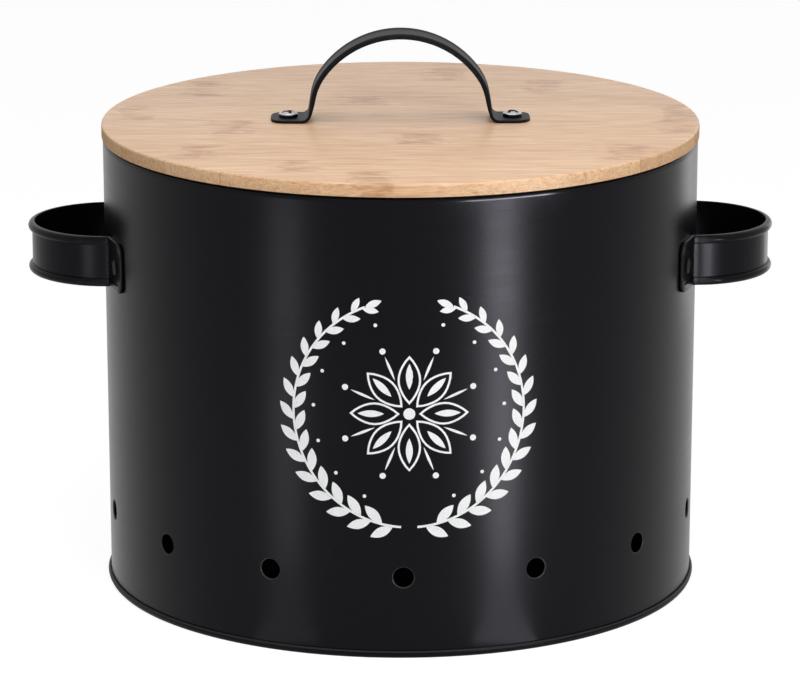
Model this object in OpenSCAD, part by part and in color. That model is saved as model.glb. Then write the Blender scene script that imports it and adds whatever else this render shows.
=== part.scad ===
// Potato storage bin: a vented steel tin with a bamboo lid.
// The tin's axis is Z, the floor is z = 0, the front is -Y and the side handles point along X.

/* [Tin] */
// Outer radius of the wall just above the foot
wall_foot_r = 118.7; // [95:0.1:140]
// How much wider the wall is just under the rim than at the foot, on the radius
wall_flare = 0.8; // [0:0.1:2]
// Thickness of the coated sheet of the wall and the base
sheet_t = 0.6; // [0.4:0.1:1]
// Height of the top of the rim
rim_z = 182.5; // [160:0.5:260]
// Outer radius of the curl at the rim
rim_curl_r = 2; // [1.5:0.1:3]

/* [Side seam] */
// Width of the lapped seam
lap_w = 5; // [3:0.5:8]
// How far the lap stands proud of the wall
lap_h = 0.4; // [0.3:0.1:0.5]

/* [Base] */
// Height of the double seam that joins the base to the wall
foot_seam_h = 3; // [2.4:0.1:5]
// Running space between the folded layers of the seam
fold_gap = 0.05; // [0.03:0.01:0.1]
// Height of the upper face of the base, next to the wall
pan_z = 3.2; // [2.6:0.1:6]
// Radius of the step pressed into the base
pan_step_r = 95; // [60:1:105]
// Height of that step
pan_step_h = 1.2; // [0.5:0.1:3]
// Width of that step's slope
pan_step_run = 1.5; // [1:0.1:4]

/* [Vents] */
// Number of vents round the tin
vent_count = 14; // [8:2:20]
// Diameter of a vent
vent_d = 8; // [4:0.5:12]
// Height of the vents' centres
vent_z = 32.6; // [15:0.1:80]

/* [Side handles] */
// Height of the side handles' centre line
handle_z = 137; // [70:0.5:140]
// Height of the handle strip
strip_w = 20.5; // [16:0.5:30]
// Thickness of the handle strip
strip_t = 1; // [0.8:0.1:1.6]
// Radius of the loop, to the strip's outer face
loop_r = 31.5; // [26:0.5:40]
// Straight run between the loop and the bend at the wall
leg_run = 0.2; // [0.2:0.1:15]
// Inner radius of the bend at the wall
tab_bend_r = 1; // [0.8:0.1:2]
// Length of each tab along the wall, from the bend to its tip
tab_len = 16; // [13:0.5:20]
// Radius of the tabs' corners
tab_corner_r = 4.5; // [2:0.5:6]
// Height of the hem folded along each edge of the strip
hem_h = 3.8; // [3.2:0.1:5]
// How far the hem stands proud of the strip
hem_proud = 1.6; // [1:0.1:2]
// Distance from the strip's edge to the hem
hem_inset = 0.15; // [0.1:0.05:0.4]
// How much of each end of the loop has no hem, as an angle
hem_end_a = 16; // [10:1:30]
// Gap between a tab and the wall
tab_gap = 0.05; // [0.03:0.01:0.2]

/* [Rivets] */
// Diameter of a rivet's shank
rivet_d = 3.2; // [2.4:0.1:4]
// Diameter of a rivet's head
rivet_head_d = 6.5; // [5.5:0.1:8]
// Height of a rivet's head
rivet_head_h = 1.3; // [1:0.1:2]
// Height of the rim of a rivet's head
rivet_edge_h = 0.5; // [0.3:0.1:0.8]
// Diameter of the bulb that a rivet forms inside the tin
rivet_bulb_d = 4.8; // [4.5:0.1:6]
// Length of that bulb
rivet_bulb_l = 2; // [1:0.1:3]
// Diameter of the pin left in a rivet
mandrel_d = 1.8; // [1.2:0.1:2]
// Diameter of that pin's head
mandrel_head_d = 2.9; // [2.5:0.1:3.4]
// Length of that pin's head
mandrel_head_l = 1.4; // [1:0.1:2]
// Depth of the broken pin below the top of the rivet's head
mandrel_break = 0.4; // [0.2:0.1:0.8]
// Distance along the wall from the bend to the rivet's centre
rivet_set = 8.2; // [6:0.1:10]
// Clearance round the shank and round the pin, on the radius
rivet_gap = 0.05; // [0.03:0.01:0.1]

/* [Lid] */
// How far the lid reaches past the rim, on the radius
lid_overhang = 0.5; // [0:0.1:5]
// Thickness of the lid board
lid_t = 5.3; // [4:0.1:12]
// Radius of the rounding along the board's top edge
lid_round_r = 0.9; // [0.5:0.1:2]
// Chamfer along the board's bottom edge
lid_chamfer = 0.4; // [0.2:0.1:1]
// Gap between the board and the rim
lid_seat = 0.3; // [0.2:0.05:0.5]
// Thickness of the locating disc under the board
disc_t = 5; // [4.5:0.1:10]
// Clearance between the locating disc and the rim's curl, on the radius
disc_gap = 1; // [0.5:0.1:3]
// Chamfer along the disc's bottom edge
disc_chamfer = 1; // [0.3:0.1:2]

/* [Lid handle] */
// Distance between the two screws
strap_span = 90; // [84:1:130]
// Height of the crown's top above the lid
crown_h = 36; // [32:0.5:50]
// Radius of the shoulder arcs, to the strap's outer face
shoulder_r = 24; // [12:0.5:26]
// Length of the legs' straight stretch, which is flat
leg_len = 6.2; // [2:0.1:12]
// Lean of the legs from upright
leg_lean = 9; // [4:1:15]
// Thickness of the strap's sheet
strap_t = 1.2; // [1:0.1:1.6]
// Width of the strap along the arch
strap_w = 15.5; // [12:0.5:20]
// Depth of the strap with its turned-in edges
strap_depth = 2.6; // [2:0.1:3.5]
// Width of the feet
strap_foot_w = 18.5; // [14:0.5:24]
// Rounding of the feet's corners
strap_foot_r = 6; // [3:0.5:7]
// Radius of the bend above each foot
strap_bend_r = 2.5; // [1.5:0.1:3]
// Distance from the screw to the middle of that bend
strap_heel = 5.5; // [5:0.1:8]
// Distance from the screw to the end of the foot
strap_toe = 7; // [6:0.1:10]

/* [Screws] */
// Diameter of a screw's head
screw_head_d = 8; // [7:0.1:9]
// Height of a screw's head
screw_head_h = 2.6; // [2:0.1:3.2]
// Height of the head's upright rim
screw_edge_h = 0.9; // [0.5:0.1:1.5]
// Length of a screw under its head
screw_l = 10; // [7:0.5:10]
// Outer diameter of the thread
thread_d = 3.9; // [3:0.1:4.2]
// Core diameter of the thread
thread_core_d = 2.8; // [2:0.1:3]
// Pitch of the thread
thread_pitch = 1.4; // [1:0.1:2]
// Length of the point
screw_point_l = 2.5; // [1.5:0.1:4]
// Length of the cross recess's arms, tip to tip
recess_l = 4.6; // [3.5:0.1:5]
// Width of the arms
recess_w = 0.9; // [0.6:0.1:1.2]
// Depth of the recess
recess_h = 1.7; // [1:0.1:2]
// Clearance of the foot's hole round the thread, on the radius
foot_hole_gap = 0.25; // [0.1:0.05:0.4]
// Clearance of the wood's hole round the thread, on the radius
pilot_gap = 0.05; // [0.03:0.01:0.1]

/* [Hidden] */
$fn = 96;

black = "#1b1b1c";
bamboo = "#dcb98c";
bright = "#c9cbce";

// Tin, and the length of the cutters that pierce its sheet
wall_top_r = wall_foot_r + wall_flare;
curl_z = rim_z - rim_curl_r;
fold_z = sheet_t + fold_gap;
fold_top_z = foot_seam_h - sheet_t / 2;
pierce_l = 8;
function wall_r(z) = wall_foot_r + wall_flare * (z - fold_top_z) / (curl_z - fold_top_z);

// Base
pan_leg_r = wall_foot_r - sheet_t - fold_gap;
pan_lip_r = wall_foot_r + sheet_t + fold_gap;

// Vents and the side seam, which lies half a pitch past the vent at the back
vent_pitch = 360 / vent_count;
front_a = -90;
lap_a = 90 + vent_pitch / 2;
lap_sweep = lap_w / wall_foot_r * 180 / PI;

// Side handles
tab_r = wall_r(handle_z + strip_w / 2) + tab_gap;
tab_face_r = tab_r + strip_t;
tab_bend_y = loop_r + tab_bend_r;
tab_bend_x = sqrt(pow(tab_face_r + tab_bend_r, 2) - pow(tab_bend_y, 2));
tab_start_a = atan2(tab_bend_y, tab_bend_x);
tab_sweep = tab_len / tab_r * 180 / PI;
loop_x = tab_bend_x + leg_run;
rivet_a = tab_start_a + rivet_set / tab_r * 180 / PI;
rivet_grip = strip_t + tab_gap + sheet_t + wall_flare * strip_w / (curl_z - fold_top_z);
bulb_end_z = -rivet_grip - tab_gap - rivet_bulb_l;

// Lid
lid_r = wall_top_r + lid_overhang;
lid_z = rim_z + lid_seat;
lid_top_z = lid_z + lid_t;
disc_r = wall_top_r - 2 * rim_curl_r - disc_gap;
pilot_r = thread_d / 2 + pilot_gap;

// Lid handle, whose crown is the arc that passes through its top and meets both shoulders smoothly
strap_bend_x = strap_span / 2 - strap_heel;
strap_bend_z = lid_top_z + strap_t + strap_bend_r;
leg_top_x = strap_bend_x - strap_bend_r * cos(leg_lean) - leg_len * sin(leg_lean);
leg_top_z = strap_bend_z - strap_bend_r * sin(leg_lean) + leg_len * cos(leg_lean);
shoulder_x = leg_top_x - shoulder_r * cos(leg_lean);
shoulder_z = leg_top_z - shoulder_r * sin(leg_lean);
crown_drop = lid_top_z + crown_h - shoulder_z;
crown_r = (pow(shoulder_x, 2) + pow(crown_drop, 2) - pow(shoulder_r, 2)) / (2 * (crown_drop - shoulder_r));
crown_z = lid_top_z + crown_h - crown_r;
crown_a = atan2(shoulder_x, shoulder_z - crown_z);

// Points on an arc, from one angle to another, both ends included
function arc(centre, r, from, to, steps) =
    [for (i = [0 : steps]) let (a = from + (to - from) * i / steps) centre + r * [cos(a), sin(a)]];

function reversed(points) = [for (i = [len(points) - 1 : -1 : 0]) points[i]];

function mirrored_x(points) = [for (p = points) [-p.x, p.y]];
function mirrored_y(points) = [for (p = points) [p.x, -p.y]];

// Places its children on a spoke: their Z axis points away from the tin's axis
module on_spoke(angle, r, z) {
    rotate(angle) translate([r, 0, z]) rotate([0, 90, 0]) children();
}

module at_rivets() {
    for (side = [0, 180])
        for (a = [-rivet_a, rivet_a])
            on_spoke(side + a, tab_face_r, handle_z) children();
}

module at_screws() {
    for (side = [-1, 1])
        translate([side * strap_span / 2, 0, 0]) children();
}

module wall_profile() {
    curl_centre = [wall_top_r - rim_curl_r, curl_z];
    polygon(concat(
        [
            [wall_foot_r - sheet_t, fold_z],
            [wall_foot_r + sheet_t, fold_z],
            [wall_foot_r + sheet_t, fold_top_z],
            [wall_foot_r, fold_top_z]
        ],
        arc(curl_centre, rim_curl_r, 0, 270, 18),
        arc(curl_centre, rim_curl_r - sheet_t, 270, 0, 18),
        [[wall_foot_r - sheet_t, fold_top_z]]
    ));
}

module side_lap() {
    low_z = foot_seam_h + sheet_t;
    high_z = curl_z - sheet_t;
    rotate_extrude(angle = lap_sweep, start = lap_a - lap_sweep / 2)
        polygon([
            [wall_r(low_z) - sheet_t / 2, low_z],
            [wall_r(low_z) + lap_h, low_z],
            [wall_r(high_z) + lap_h, high_z],
            [wall_r(high_z) - sheet_t / 2, high_z]
        ]);
}

module tin_wall() {
    color(black) difference() {
        union() {
            rotate_extrude() wall_profile();
            side_lap();
        }
        for (i = [0 : vent_count - 1])
            on_spoke(front_a + i * vent_pitch, wall_foot_r - pierce_l / 2, vent_z)
                cylinder(d = vent_d, h = pierce_l);
        at_rivets()
            translate([0, 0, -pierce_l]) cylinder(r = rivet_d / 2 + rivet_gap, h = pierce_l);
    }
}

module base_profile() {
    step_z = pan_z + pan_step_h;
    slope_r = pan_step_r - pan_step_run;
    inner_r = pan_leg_r - sheet_t;
    polygon(concat(
        [
            [0, step_z - sheet_t],
            [slope_r, step_z - sheet_t],
            [pan_step_r, pan_z - sheet_t],
            [inner_r, pan_z - sheet_t]
        ],
        arc([pan_leg_r, sheet_t], sheet_t, 180, 270, 4),
        arc([pan_lip_r, sheet_t], sheet_t, 270, 360, 4),
        arc([pan_lip_r, foot_seam_h - sheet_t], sheet_t, 0, 90, 4),
        [
            [pan_lip_r, sheet_t],
            [pan_leg_r, sheet_t]
        ],
        arc([inner_r, pan_z - sheet_t], sheet_t, 0, 90, 4),
        [
            [pan_step_r, pan_z],
            [slope_r, step_z],
            [0, step_z]
        ]
    ));
}

module tin_base() {
    color(black) rotate_extrude() base_profile();
}

// Half of one face of the strip, seen from above, from a tab's tip to the loop's outermost point
function strip_face(depth) = concat(
    arc([0, 0], tab_face_r - depth, tab_start_a + tab_sweep, tab_start_a, 10),
    arc([tab_bend_x, tab_bend_y], tab_bend_r + depth, 180 + tab_start_a, 270, 8),
    arc([loop_x, 0], loop_r - depth, 90, 0, 30)
);
function strip_side(depth) = concat(strip_face(depth), reversed(mirrored_y(strip_face(depth))));

module strip_plan() {
    polygon(concat(strip_side(0), reversed(strip_side(strip_t))));
}

// The fold along one edge of the strip, in section, seated in the strip's outer half
module hem_section() {
    fold_w = strip_t / 2 + hem_proud;
    fold_r = fold_w / 2;
    for (z = [hem_inset + fold_r, hem_inset + hem_h - fold_r])
        translate([loop_r - strip_t / 2 + fold_r, strip_w / 2 - z]) circle(r = fold_r);
    translate([loop_r - strip_t / 2, strip_w / 2 - hem_inset - hem_h + fold_r])
        square([fold_w, hem_h - 2 * fold_r]);
}

module hem() {
    hem_a = 90 - hem_end_a;
    translate([loop_x, 0, 0]) rotate_extrude(angle = 2 * hem_a, start = -hem_a) hem_section();
}

// What stays of a tab outside its rounded corners, as a cutter along the spoke
module tab_corner() {
    margin = 1;
    for (edge = [-1, 1])
        on_spoke(tab_start_a + tab_sweep, tab_face_r - pierce_l / 2, edge * strip_w / 2)
            mirror([edge > 0 ? 0 : 1, 0, 0]) linear_extrude(pierce_l) difference() {
                translate([-margin, -tab_corner_r]) square(tab_corner_r + margin);
                translate([tab_corner_r, -tab_corner_r]) circle(r = tab_corner_r);
            }
}

module side_handle() {
    color(black) difference() {
        translate([0, 0, handle_z]) {
            translate([0, 0, -strip_w / 2]) linear_extrude(strip_w) strip_plan();
            hem();
            mirror([0, 0, 1]) hem();
        }
        translate([0, 0, handle_z]) {
            tab_corner();
            mirror([0, 1, 0]) tab_corner();
        }
        at_rivets()
            translate([0, 0, -pierce_l / 2]) cylinder(r = rivet_d / 2 + rivet_gap, h = pierce_l);
    }
}

module side_handle_right() {
    side_handle();
}

module side_handle_left() {
    mirror([1, 0, 0]) side_handle();
}

// A low dome over a disc: its rim is edge_h high and its middle is h high
module dome(d, h, edge_h) {
    rise = h - edge_h;
    cap_r = (d * d / 4 + rise * rise) / (2 * rise);
    rotate_extrude() intersection() {
        translate([0, h - cap_r]) circle(r = cap_r);
        square([d / 2, h]);
    }
}

module rivet() {
    difference() {
        union() {
            dome(rivet_head_d, rivet_head_h, rivet_edge_h);
            translate([0, 0, -rivet_grip - rivet_bulb_l / 2])
                cylinder(d = rivet_d, h = rivet_grip + rivet_bulb_l / 2 + rivet_edge_h / 2);
            translate([0, 0, bulb_end_z]) cylinder(d = rivet_bulb_d, h = rivet_bulb_l);
        }
        translate([0, 0, bulb_end_z - rivet_bulb_l])
            cylinder(r = mandrel_d / 2 + rivet_gap, h = rivet_bulb_l - bulb_end_z + 2 * rivet_head_h);
    }
}

module handle_rivets() {
    color(black) at_rivets() rivet();
}

module mandrel() {
    translate([0, 0, bulb_end_z]) cylinder(d = mandrel_d, h = rivet_head_h - mandrel_break - bulb_end_z);
    translate([0, 0, bulb_end_z - mandrel_head_l]) cylinder(d = mandrel_head_d, h = mandrel_head_l);
}

module rivet_mandrels() {
    color(black) at_rivets() mandrel();
}

module lid_board() {
    color(bamboo) difference() {
        translate([0, 0, lid_z]) rotate_extrude() polygon(concat(
            [[0, 0], [lid_r - lid_chamfer, 0], [lid_r, lid_chamfer]],
            arc([lid_r - lid_round_r, lid_t - lid_round_r], lid_round_r, 0, 90, 6),
            [[0, lid_t]]
        ));
        at_screws() translate([0, 0, lid_z - lid_t]) cylinder(r = pilot_r, h = 3 * lid_t);
    }
}

module lid_locating_disc() {
    hole_z = lid_top_z + strap_t - screw_l - screw_point_l / 4;
    bottom_r = disc_r - disc_chamfer;
    color(bamboo) difference() {
        translate([0, 0, lid_z - disc_t]) rotate_extrude()
            polygon([[0, 0], [bottom_r, 0], [disc_r, disc_chamfer], [disc_r, disc_t], [0, disc_t]]);
        at_screws() translate([0, 0, hole_z]) cylinder(r = pilot_r, h = lid_z + lid_t - hole_z);
    }
}

// Half of one face of the strap's arch, seen from the front, from a leg to the crown's top
function arch_face(depth) = concat(
    arc([shoulder_x, shoulder_z], shoulder_r - depth, leg_lean, 90 - crown_a, 10),
    arc([0, crown_z], crown_r - depth, 90 - crown_a, 90, 20)
);
function strap_face(depth) = concat(
    [[strap_span / 2, lid_top_z + strap_t - depth]],
    arc([strap_bend_x, strap_bend_z], strap_bend_r + depth, 270, 180 + leg_lean, 8),
    arch_face(depth)
);

// A bent sheet between two faces, each given by its right half, across the strap's width
module bent_sheet(outer, inner, width) {
    rotate([90, 0, 0]) linear_extrude(width, center = true) polygon(concat(
        outer, reversed(mirrored_x(outer)), mirrored_x(inner), reversed(inner)
    ));
}

module strap_foot() {
    foot_l = strap_heel + strap_toe;
    half_w = strap_foot_w / 2;
    translate([strap_bend_x, 0, lid_top_z]) linear_extrude(strap_t) {
        translate([0, -half_w]) square([foot_l - strap_foot_r, strap_foot_w]);
        translate([0, strap_foot_r - half_w]) square([foot_l, strap_foot_w - 2 * strap_foot_r]);
        for (edge = [-1, 1])
            translate([foot_l - strap_foot_r, edge * (half_w - strap_foot_r)]) circle(r = strap_foot_r);
    }
}

module lid_handle() {
    lip_y = (strap_w - strap_t) / 2;
    color(black) difference() {
        union() {
            bent_sheet(strap_face(0), strap_face(strap_t), strap_w);
            for (side = [-1, 1])
                translate([0, side * lip_y, 0]) bent_sheet(arch_face(0), arch_face(strap_depth), strap_t);
            strap_foot();
            mirror([1, 0, 0]) strap_foot();
        }
        at_screws() translate([0, 0, lid_z])
            cylinder(r = thread_d / 2 + foot_hole_gap, h = lid_t + 2 * strap_t);
    }
}

module thread_profile() {
    turns = floor((screw_l - screw_point_l) / thread_pitch);
    thread_end = -turns * thread_pitch;
    polygon(concat(
        [[0, 0]],
        [for (i = [0 : turns - 1], half = [0, 1])
            [half == 0 ? thread_core_d / 2 : thread_d / 2, -(i + half / 2) * thread_pitch]],
        [[thread_core_d / 2, thread_end], [0, -screw_l]]
    ));
}

module screw() {
    difference() {
        dome(screw_head_d, screw_head_h, screw_edge_h);
        for (turn = [0, 90])
            rotate(turn) translate([-recess_l / 2, -recess_w / 2, screw_head_h - recess_h])
                cube([recess_l, recess_w, 2 * recess_h]);
    }
    rotate_extrude() thread_profile();
}

module lid_handle_screws() {
    color(bright) at_screws() translate([0, 0, lid_top_z + strap_t]) screw();
}

tin_wall();
tin_base();
side_handle_left();
side_handle_right();
handle_rivets();
rivet_mandrels();
lid_board();
lid_locating_disc();
lid_handle();
lid_handle_screws();
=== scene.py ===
"""Gives a vented steel storage tin with a bamboo lid its finished shapes and surfaces.

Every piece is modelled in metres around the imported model: the tin's axis is Z, the floor is z = 0,
the printed front is -Y and the side handles point along X.
"""

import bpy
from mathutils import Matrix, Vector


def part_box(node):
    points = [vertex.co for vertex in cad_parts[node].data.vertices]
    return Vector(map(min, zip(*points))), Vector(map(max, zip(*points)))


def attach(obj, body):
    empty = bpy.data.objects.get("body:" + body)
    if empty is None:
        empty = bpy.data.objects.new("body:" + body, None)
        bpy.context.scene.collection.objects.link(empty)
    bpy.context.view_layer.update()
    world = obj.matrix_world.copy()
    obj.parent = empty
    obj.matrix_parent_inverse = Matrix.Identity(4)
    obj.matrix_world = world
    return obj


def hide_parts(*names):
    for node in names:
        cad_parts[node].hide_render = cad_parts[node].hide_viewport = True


bl_info = {
    "name": "Vented storage tin",
    "version": (1, 0, 0),
    "blender": (4, 5, 0),
    "location": "3D View > Sidebar > Storage tin",
    "description": "Builds the tin, its handles, its bamboo lid and a plain studio",
    "category": "Object",
}

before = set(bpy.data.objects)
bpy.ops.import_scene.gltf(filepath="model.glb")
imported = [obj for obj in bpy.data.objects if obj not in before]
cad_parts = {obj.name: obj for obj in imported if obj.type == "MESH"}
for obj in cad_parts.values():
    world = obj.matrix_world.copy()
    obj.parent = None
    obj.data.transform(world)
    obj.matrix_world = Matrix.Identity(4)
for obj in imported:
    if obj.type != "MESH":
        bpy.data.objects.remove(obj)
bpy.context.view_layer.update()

import math

import bmesh
import bpy
from bpy.props import FloatProperty, FloatVectorProperty, IntProperty, PointerProperty
from mathutils import Matrix, Vector

MM = 0.001
TURN = 2 * math.pi

wall_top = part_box("tin_wall")[1]
base_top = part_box("tin_base")[1]
strip_low, strip_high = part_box("side_handle_right")
board_low, board_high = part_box("lid_board")
disc_low, disc_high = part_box("lid_locating_disc")
strap_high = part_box("lid_handle")[1]


def length(name, text, metres):
    """A size in metres that a user may change."""
    return FloatProperty(name=name, description=text, default=metres, min=0, precision=5, unit="LENGTH")


def angle(name, text, degrees):
    """An angle that a user may change."""
    return FloatProperty(name=name, description=text, default=math.radians(degrees), unit="ROTATION")


def colour(name, text, red, green, blue):
    """A linear colour that a user may change."""
    return FloatVectorProperty(
        name=name, description=text, default=(red, green, blue), min=0, max=1, subtype="COLOR"
    )


def share(name, text, value):
    """A number from 0 to 1 that a user may change."""
    return FloatProperty(name=name, description=text, default=value, min=0, max=1, subtype="FACTOR")


class TinSizes(bpy.types.PropertyGroup):
    """Sizes of the wall, the base and the vents"""

    sheet: length("Sheet", "Thickness of the steel sheet", 0.6 * MM)
    foot_radius: length("Foot radius", "Outer radius of the wall above the foot", 118.7 * MM)
    top_radius: length("Top radius", "Outer radius of the wall under the rim", wall_top.x)
    rim_height: length("Rim height", "Height of the top of the rim", wall_top.z)
    curl_radius: length("Curl radius", "Outer radius of the curl at the rim", 2 * MM)
    seam_height: length("Foot seam", "Height of the double seam at the foot", 3 * MM)
    seam_radius: length("Foot seam radius", "Outer radius of the double seam", base_top.x)
    step_radius: length("Base step", "Radius of the step pressed into the base", 95 * MM)
    step_height: length("Base step height", "Height of the step pressed into the base", 1.2 * MM)
    step_run: length("Base step run", "Width of the slope of that step", 1.5 * MM)
    floor_height: length("Tin floor", "Height of the floor inside the tin", 3.2 * MM)
    seam_gap: length("Seam gap", "Gap between the layers of the double seam", 0.05 * MM)
    lap_width: length("Side seam", "Width of the lapped seam at the back", 5 * MM)
    lap_height: length("Side seam height", "How far the lapped seam stands proud", 0.4 * MM)
    edge_round: length("Edge rounding", "Rounding that the coating gives a cut edge", 0.16 * MM)
    vents: IntProperty(name="Vents", description="Number of vents round the tin", default=14, min=4)
    vent_diameter: length("Vent diameter", "Diameter of a vent", 8 * MM)
    vent_height: length("Vent height", "Height of the vents' centres", 32.6 * MM)
    vent_roll: length("Vent edge", "Rounding round each vent", 0.45 * MM)


class SideHandleSizes(bpy.types.PropertyGroup):
    """Sizes of the two loop handles"""

    thickness: length("Strip", "Thickness of the handle strip", 1 * MM)
    width: length("Strip width", "Height of the handle strip", strip_high.z - strip_low.z)
    loop_radius: length("Loop", "Radius of the loop, to the strip's outer face", 31.5 * MM)
    leg: length("Leg", "Straight run between the loop and the bend at the wall", 0.2 * MM)
    bend_radius: length("Bend", "Inner radius of the bend at the wall", 1 * MM)
    tab: length("Tab", "Length of a tab along the wall", 16 * MM)
    tab_corner: length("Tab corner", "Radius of the tabs' corners", 4.5 * MM)
    tab_radius: length("Tab seat", "Radius of the tab's inner face from the tin's axis", 119.4 * MM)
    bead: length("Bead", "How far the rolled edge stands proud", 1.6 * MM)
    bead_height: length("Bead height", "Height of the rolled edge", 3.4 * MM)
    pressed_bead: share("Pressed bead", "What is left of the bead where it is pressed flat", 0.26)


class RivetSizes(bpy.types.PropertyGroup):
    """Sizes of the rivets and of the pins left in them"""

    shank: length("Shank", "Diameter of a rivet's shank", 3.2 * MM)
    head: length("Head", "Diameter of a rivet's head", 6.5 * MM)
    head_height: length("Head height", "Height of a rivet's head", 1.3 * MM)
    head_edge: length("Head edge", "Height of the rim of a rivet's head", 0.5 * MM)
    bulb: length("Bulb", "Diameter of the bulb inside the tin", 4.8 * MM)
    bulb_length: length("Bulb length", "Length of the bulb inside the tin", 2 * MM)
    grip: length("Grip", "Thickness of what a rivet holds together", 1.75 * MM)
    pin: length("Pin", "Diameter of the pin left in a rivet", 1.8 * MM)
    pin_head: length("Pin head", "Diameter of the pin's head", 2.9 * MM)
    pin_head_length: length("Pin head length", "Length of the pin's head", 1.4 * MM)
    pin_depth: length("Pin depth", "Depth of the broken pin below the rivet's head", 0.4 * MM)
    from_bend: length("From bend", "Distance along the wall from the bend to a rivet", 8.2 * MM)


class PrintSizes(bpy.types.PropertyGroup):
    """Sizes of the printed ornament"""

    height: length("Height", "Height of the middle of the print", 98.1 * MM)
    turn: angle("Turn", "How far round the tin the print sits from the middle of the front", 1.06)
    radius: length("Radius", "Radius of the wreath, to the tips of its leaves", 51 * MM)
    opening: angle("Opening", "Gap at the top of the wreath", 44)
    stem: length("Stem", "Width of the wreath's stems", 0.9 * MM)
    leaf: length("Leaf", "Length of the largest leaves", 9.8 * MM)
    leaf_width: length("Leaf width", "Width of the largest leaves", 3.9 * MM)
    leaf_lean: angle("Leaf lean", "Angle between a leaf and its stem", 36)
    bottom_gap: angle("Bottom gap", "Gap between the stems at the bottom", 8)
    leaves: IntProperty(name="Leaves", description="Pairs of leaves on each stem", default=14, min=2)
    rosette: length("Rosette", "Radius of the rosette in the middle", 23 * MM)
    petals: IntProperty(name="Petals", description="Petals of the rosette", default=8, min=3)
    petal_width: length("Petal width", "Width of a petal", 9 * MM)
    line: length("Line", "Width of the rosette's lines", 0.8 * MM)
    dot: length("Dot", "Diameter of the dots", 2.4 * MM)
    ink: length("Ink", "Thickness of the ink", 0.03 * MM)


class LidSizes(bpy.types.PropertyGroup):
    """Sizes of the lid board and the locating disc"""

    radius: length("Lid radius", "Radius of the bamboo board", board_high.x)
    bottom: length("Lid bottom", "Height of the board's lower face", board_low.z)
    top: length("Lid top", "Height of the board's upper face", board_high.z)
    rounding: length("Rounding", "Radius along the board's top edge", 0.9 * MM)
    chamfer: length("Chamfer", "Chamfer along the board's bottom edge", 0.4 * MM)
    disc_radius: length("Disc radius", "Radius of the locating disc", disc_high.x)
    disc_bottom: length("Disc bottom", "Height of the locating disc's lower face", disc_low.z)
    disc_chamfer: length("Disc chamfer", "Chamfer along the disc's bottom edge", 1 * MM)


class LidHandleSizes(bpy.types.PropertyGroup):
    """Sizes of the strap handle on the lid"""

    span: length("Span", "Distance between the two screws", 90 * MM)
    toe: length("Toe", "Distance from a screw to the end of the foot", strap_high.x - 45 * MM)
    height: length("Height", "Height of the crown above the lid", strap_high.z - board_high.z)
    shoulder_radius: length("Shoulder", "Radius of the shoulders, to the outer face", 24 * MM)
    leg: length("Leg", "Length of the legs' straight stretch", 6.2 * MM)
    lean: angle("Lean", "Lean of the legs from upright", 9)
    sheet: length("Sheet", "Thickness of the strap", 1.2 * MM)
    width: length("Width", "Width of the strap along the arch", 16.6 * MM)
    depth: length("Depth", "Depth of the strap with its edges turned in", 2 * MM)
    edge_radius: length("Edge radius", "Radius of the turned edges, to mid-sheet", 0.8 * MM)
    groove: length("Groove", "Depth of the shallow groove along the strap's outer face", 0.4 * MM)
    foot_width: length("Foot width", "Width of the feet", 2 * strap_high.y)
    foot_corner: length("Foot corner", "Rounding of the feet's corners", 6 * MM)
    bend_radius: length("Bend", "Radius of the bend above each foot", 2.5 * MM)
    heel: length("Heel", "Distance from a screw to the middle of that bend", 5.5 * MM)


class ScrewSizes(bpy.types.PropertyGroup):
    """Sizes of the two screws through the lid handle"""

    head: length("Head", "Diameter of a screw's head", 7.7 * MM)
    head_height: length("Head height", "Height of a screw's head", 2.4 * MM)
    head_edge: length("Head edge", "Height of the head's upright rim", 1.2 * MM)
    under_head: length("Length", "Length of a screw under its head", 10 * MM)
    thread: length("Thread", "Outer diameter of the thread", 3.9 * MM)
    core: length("Core", "Core diameter of the thread", 2.8 * MM)
    pitch: length("Pitch", "Pitch of the thread", 1.4 * MM)
    point: length("Point", "Length of the point", 2.5 * MM)
    recess: length("Recess", "Length of the cross recess, tip to tip", 7 * MM)
    recess_width: length("Recess width", "Width of the recess's arms", 1.6 * MM)
    recess_depth: length("Recess depth", "Depth of the recess", 1.9 * MM)


class Finishes(bpy.types.PropertyGroup):
    """Colours, roughness and shine of the materials"""

    coat: colour("Coat", "Satin black coat", 0.002, 0.002, 0.0026)
    # Painted highlight: a lighter colour for the rounded edges of the vents and the seam's top edge, where
    # they catch light.
    painted_edge_highlight: colour("Painted edge highlight", "Coat rubbed thin on the edges of vents and seam", 0.035, 0.035, 0.038)
    coat_roughness: share("Coat roughness", "Roughness of the black coat", 0.28)
    dull_roughness: share("Dull coat roughness", "Roughness of the base's and lid handle's coat", 0.48)
    coat_shine: share("Coat shine", "Specular level of the wall's and side handles' coat", 0.103)
    strap_shine: share("Strap shine", "Specular level of the lid handle's coat", 0.14)
    base_shine: share("Base shine", "Specular level of the base's coat", 0.075)
    rivet: colour("Rivet", "Black lacquer on the rivets", 0.003, 0.003, 0.0034)
    pin: colour("Pin", "Broken steel of the rivets' pins", 0.018, 0.018, 0.02)
    steel: colour("Steel", "Bright zinc on the screws", 0.5, 0.5, 0.51)
    ink: colour("Ink", "White ink of the print", 0.86, 0.865, 0.87)
    bamboo_light: colour("Bamboo", "Bamboo between the knuckles", 0.85, 0.59, 0.385)
    bamboo_dark: colour("Bamboo fibre", "Darker fibres of the bamboo", 0.53, 0.285, 0.13)
    bamboo_knuckle: colour("Knuckle", "Bamboo at a knuckle", 0.34, 0.12, 0.03)
    floor: colour("Floor", "Plain pale floor", 0.9, 0.9, 0.9)


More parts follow.
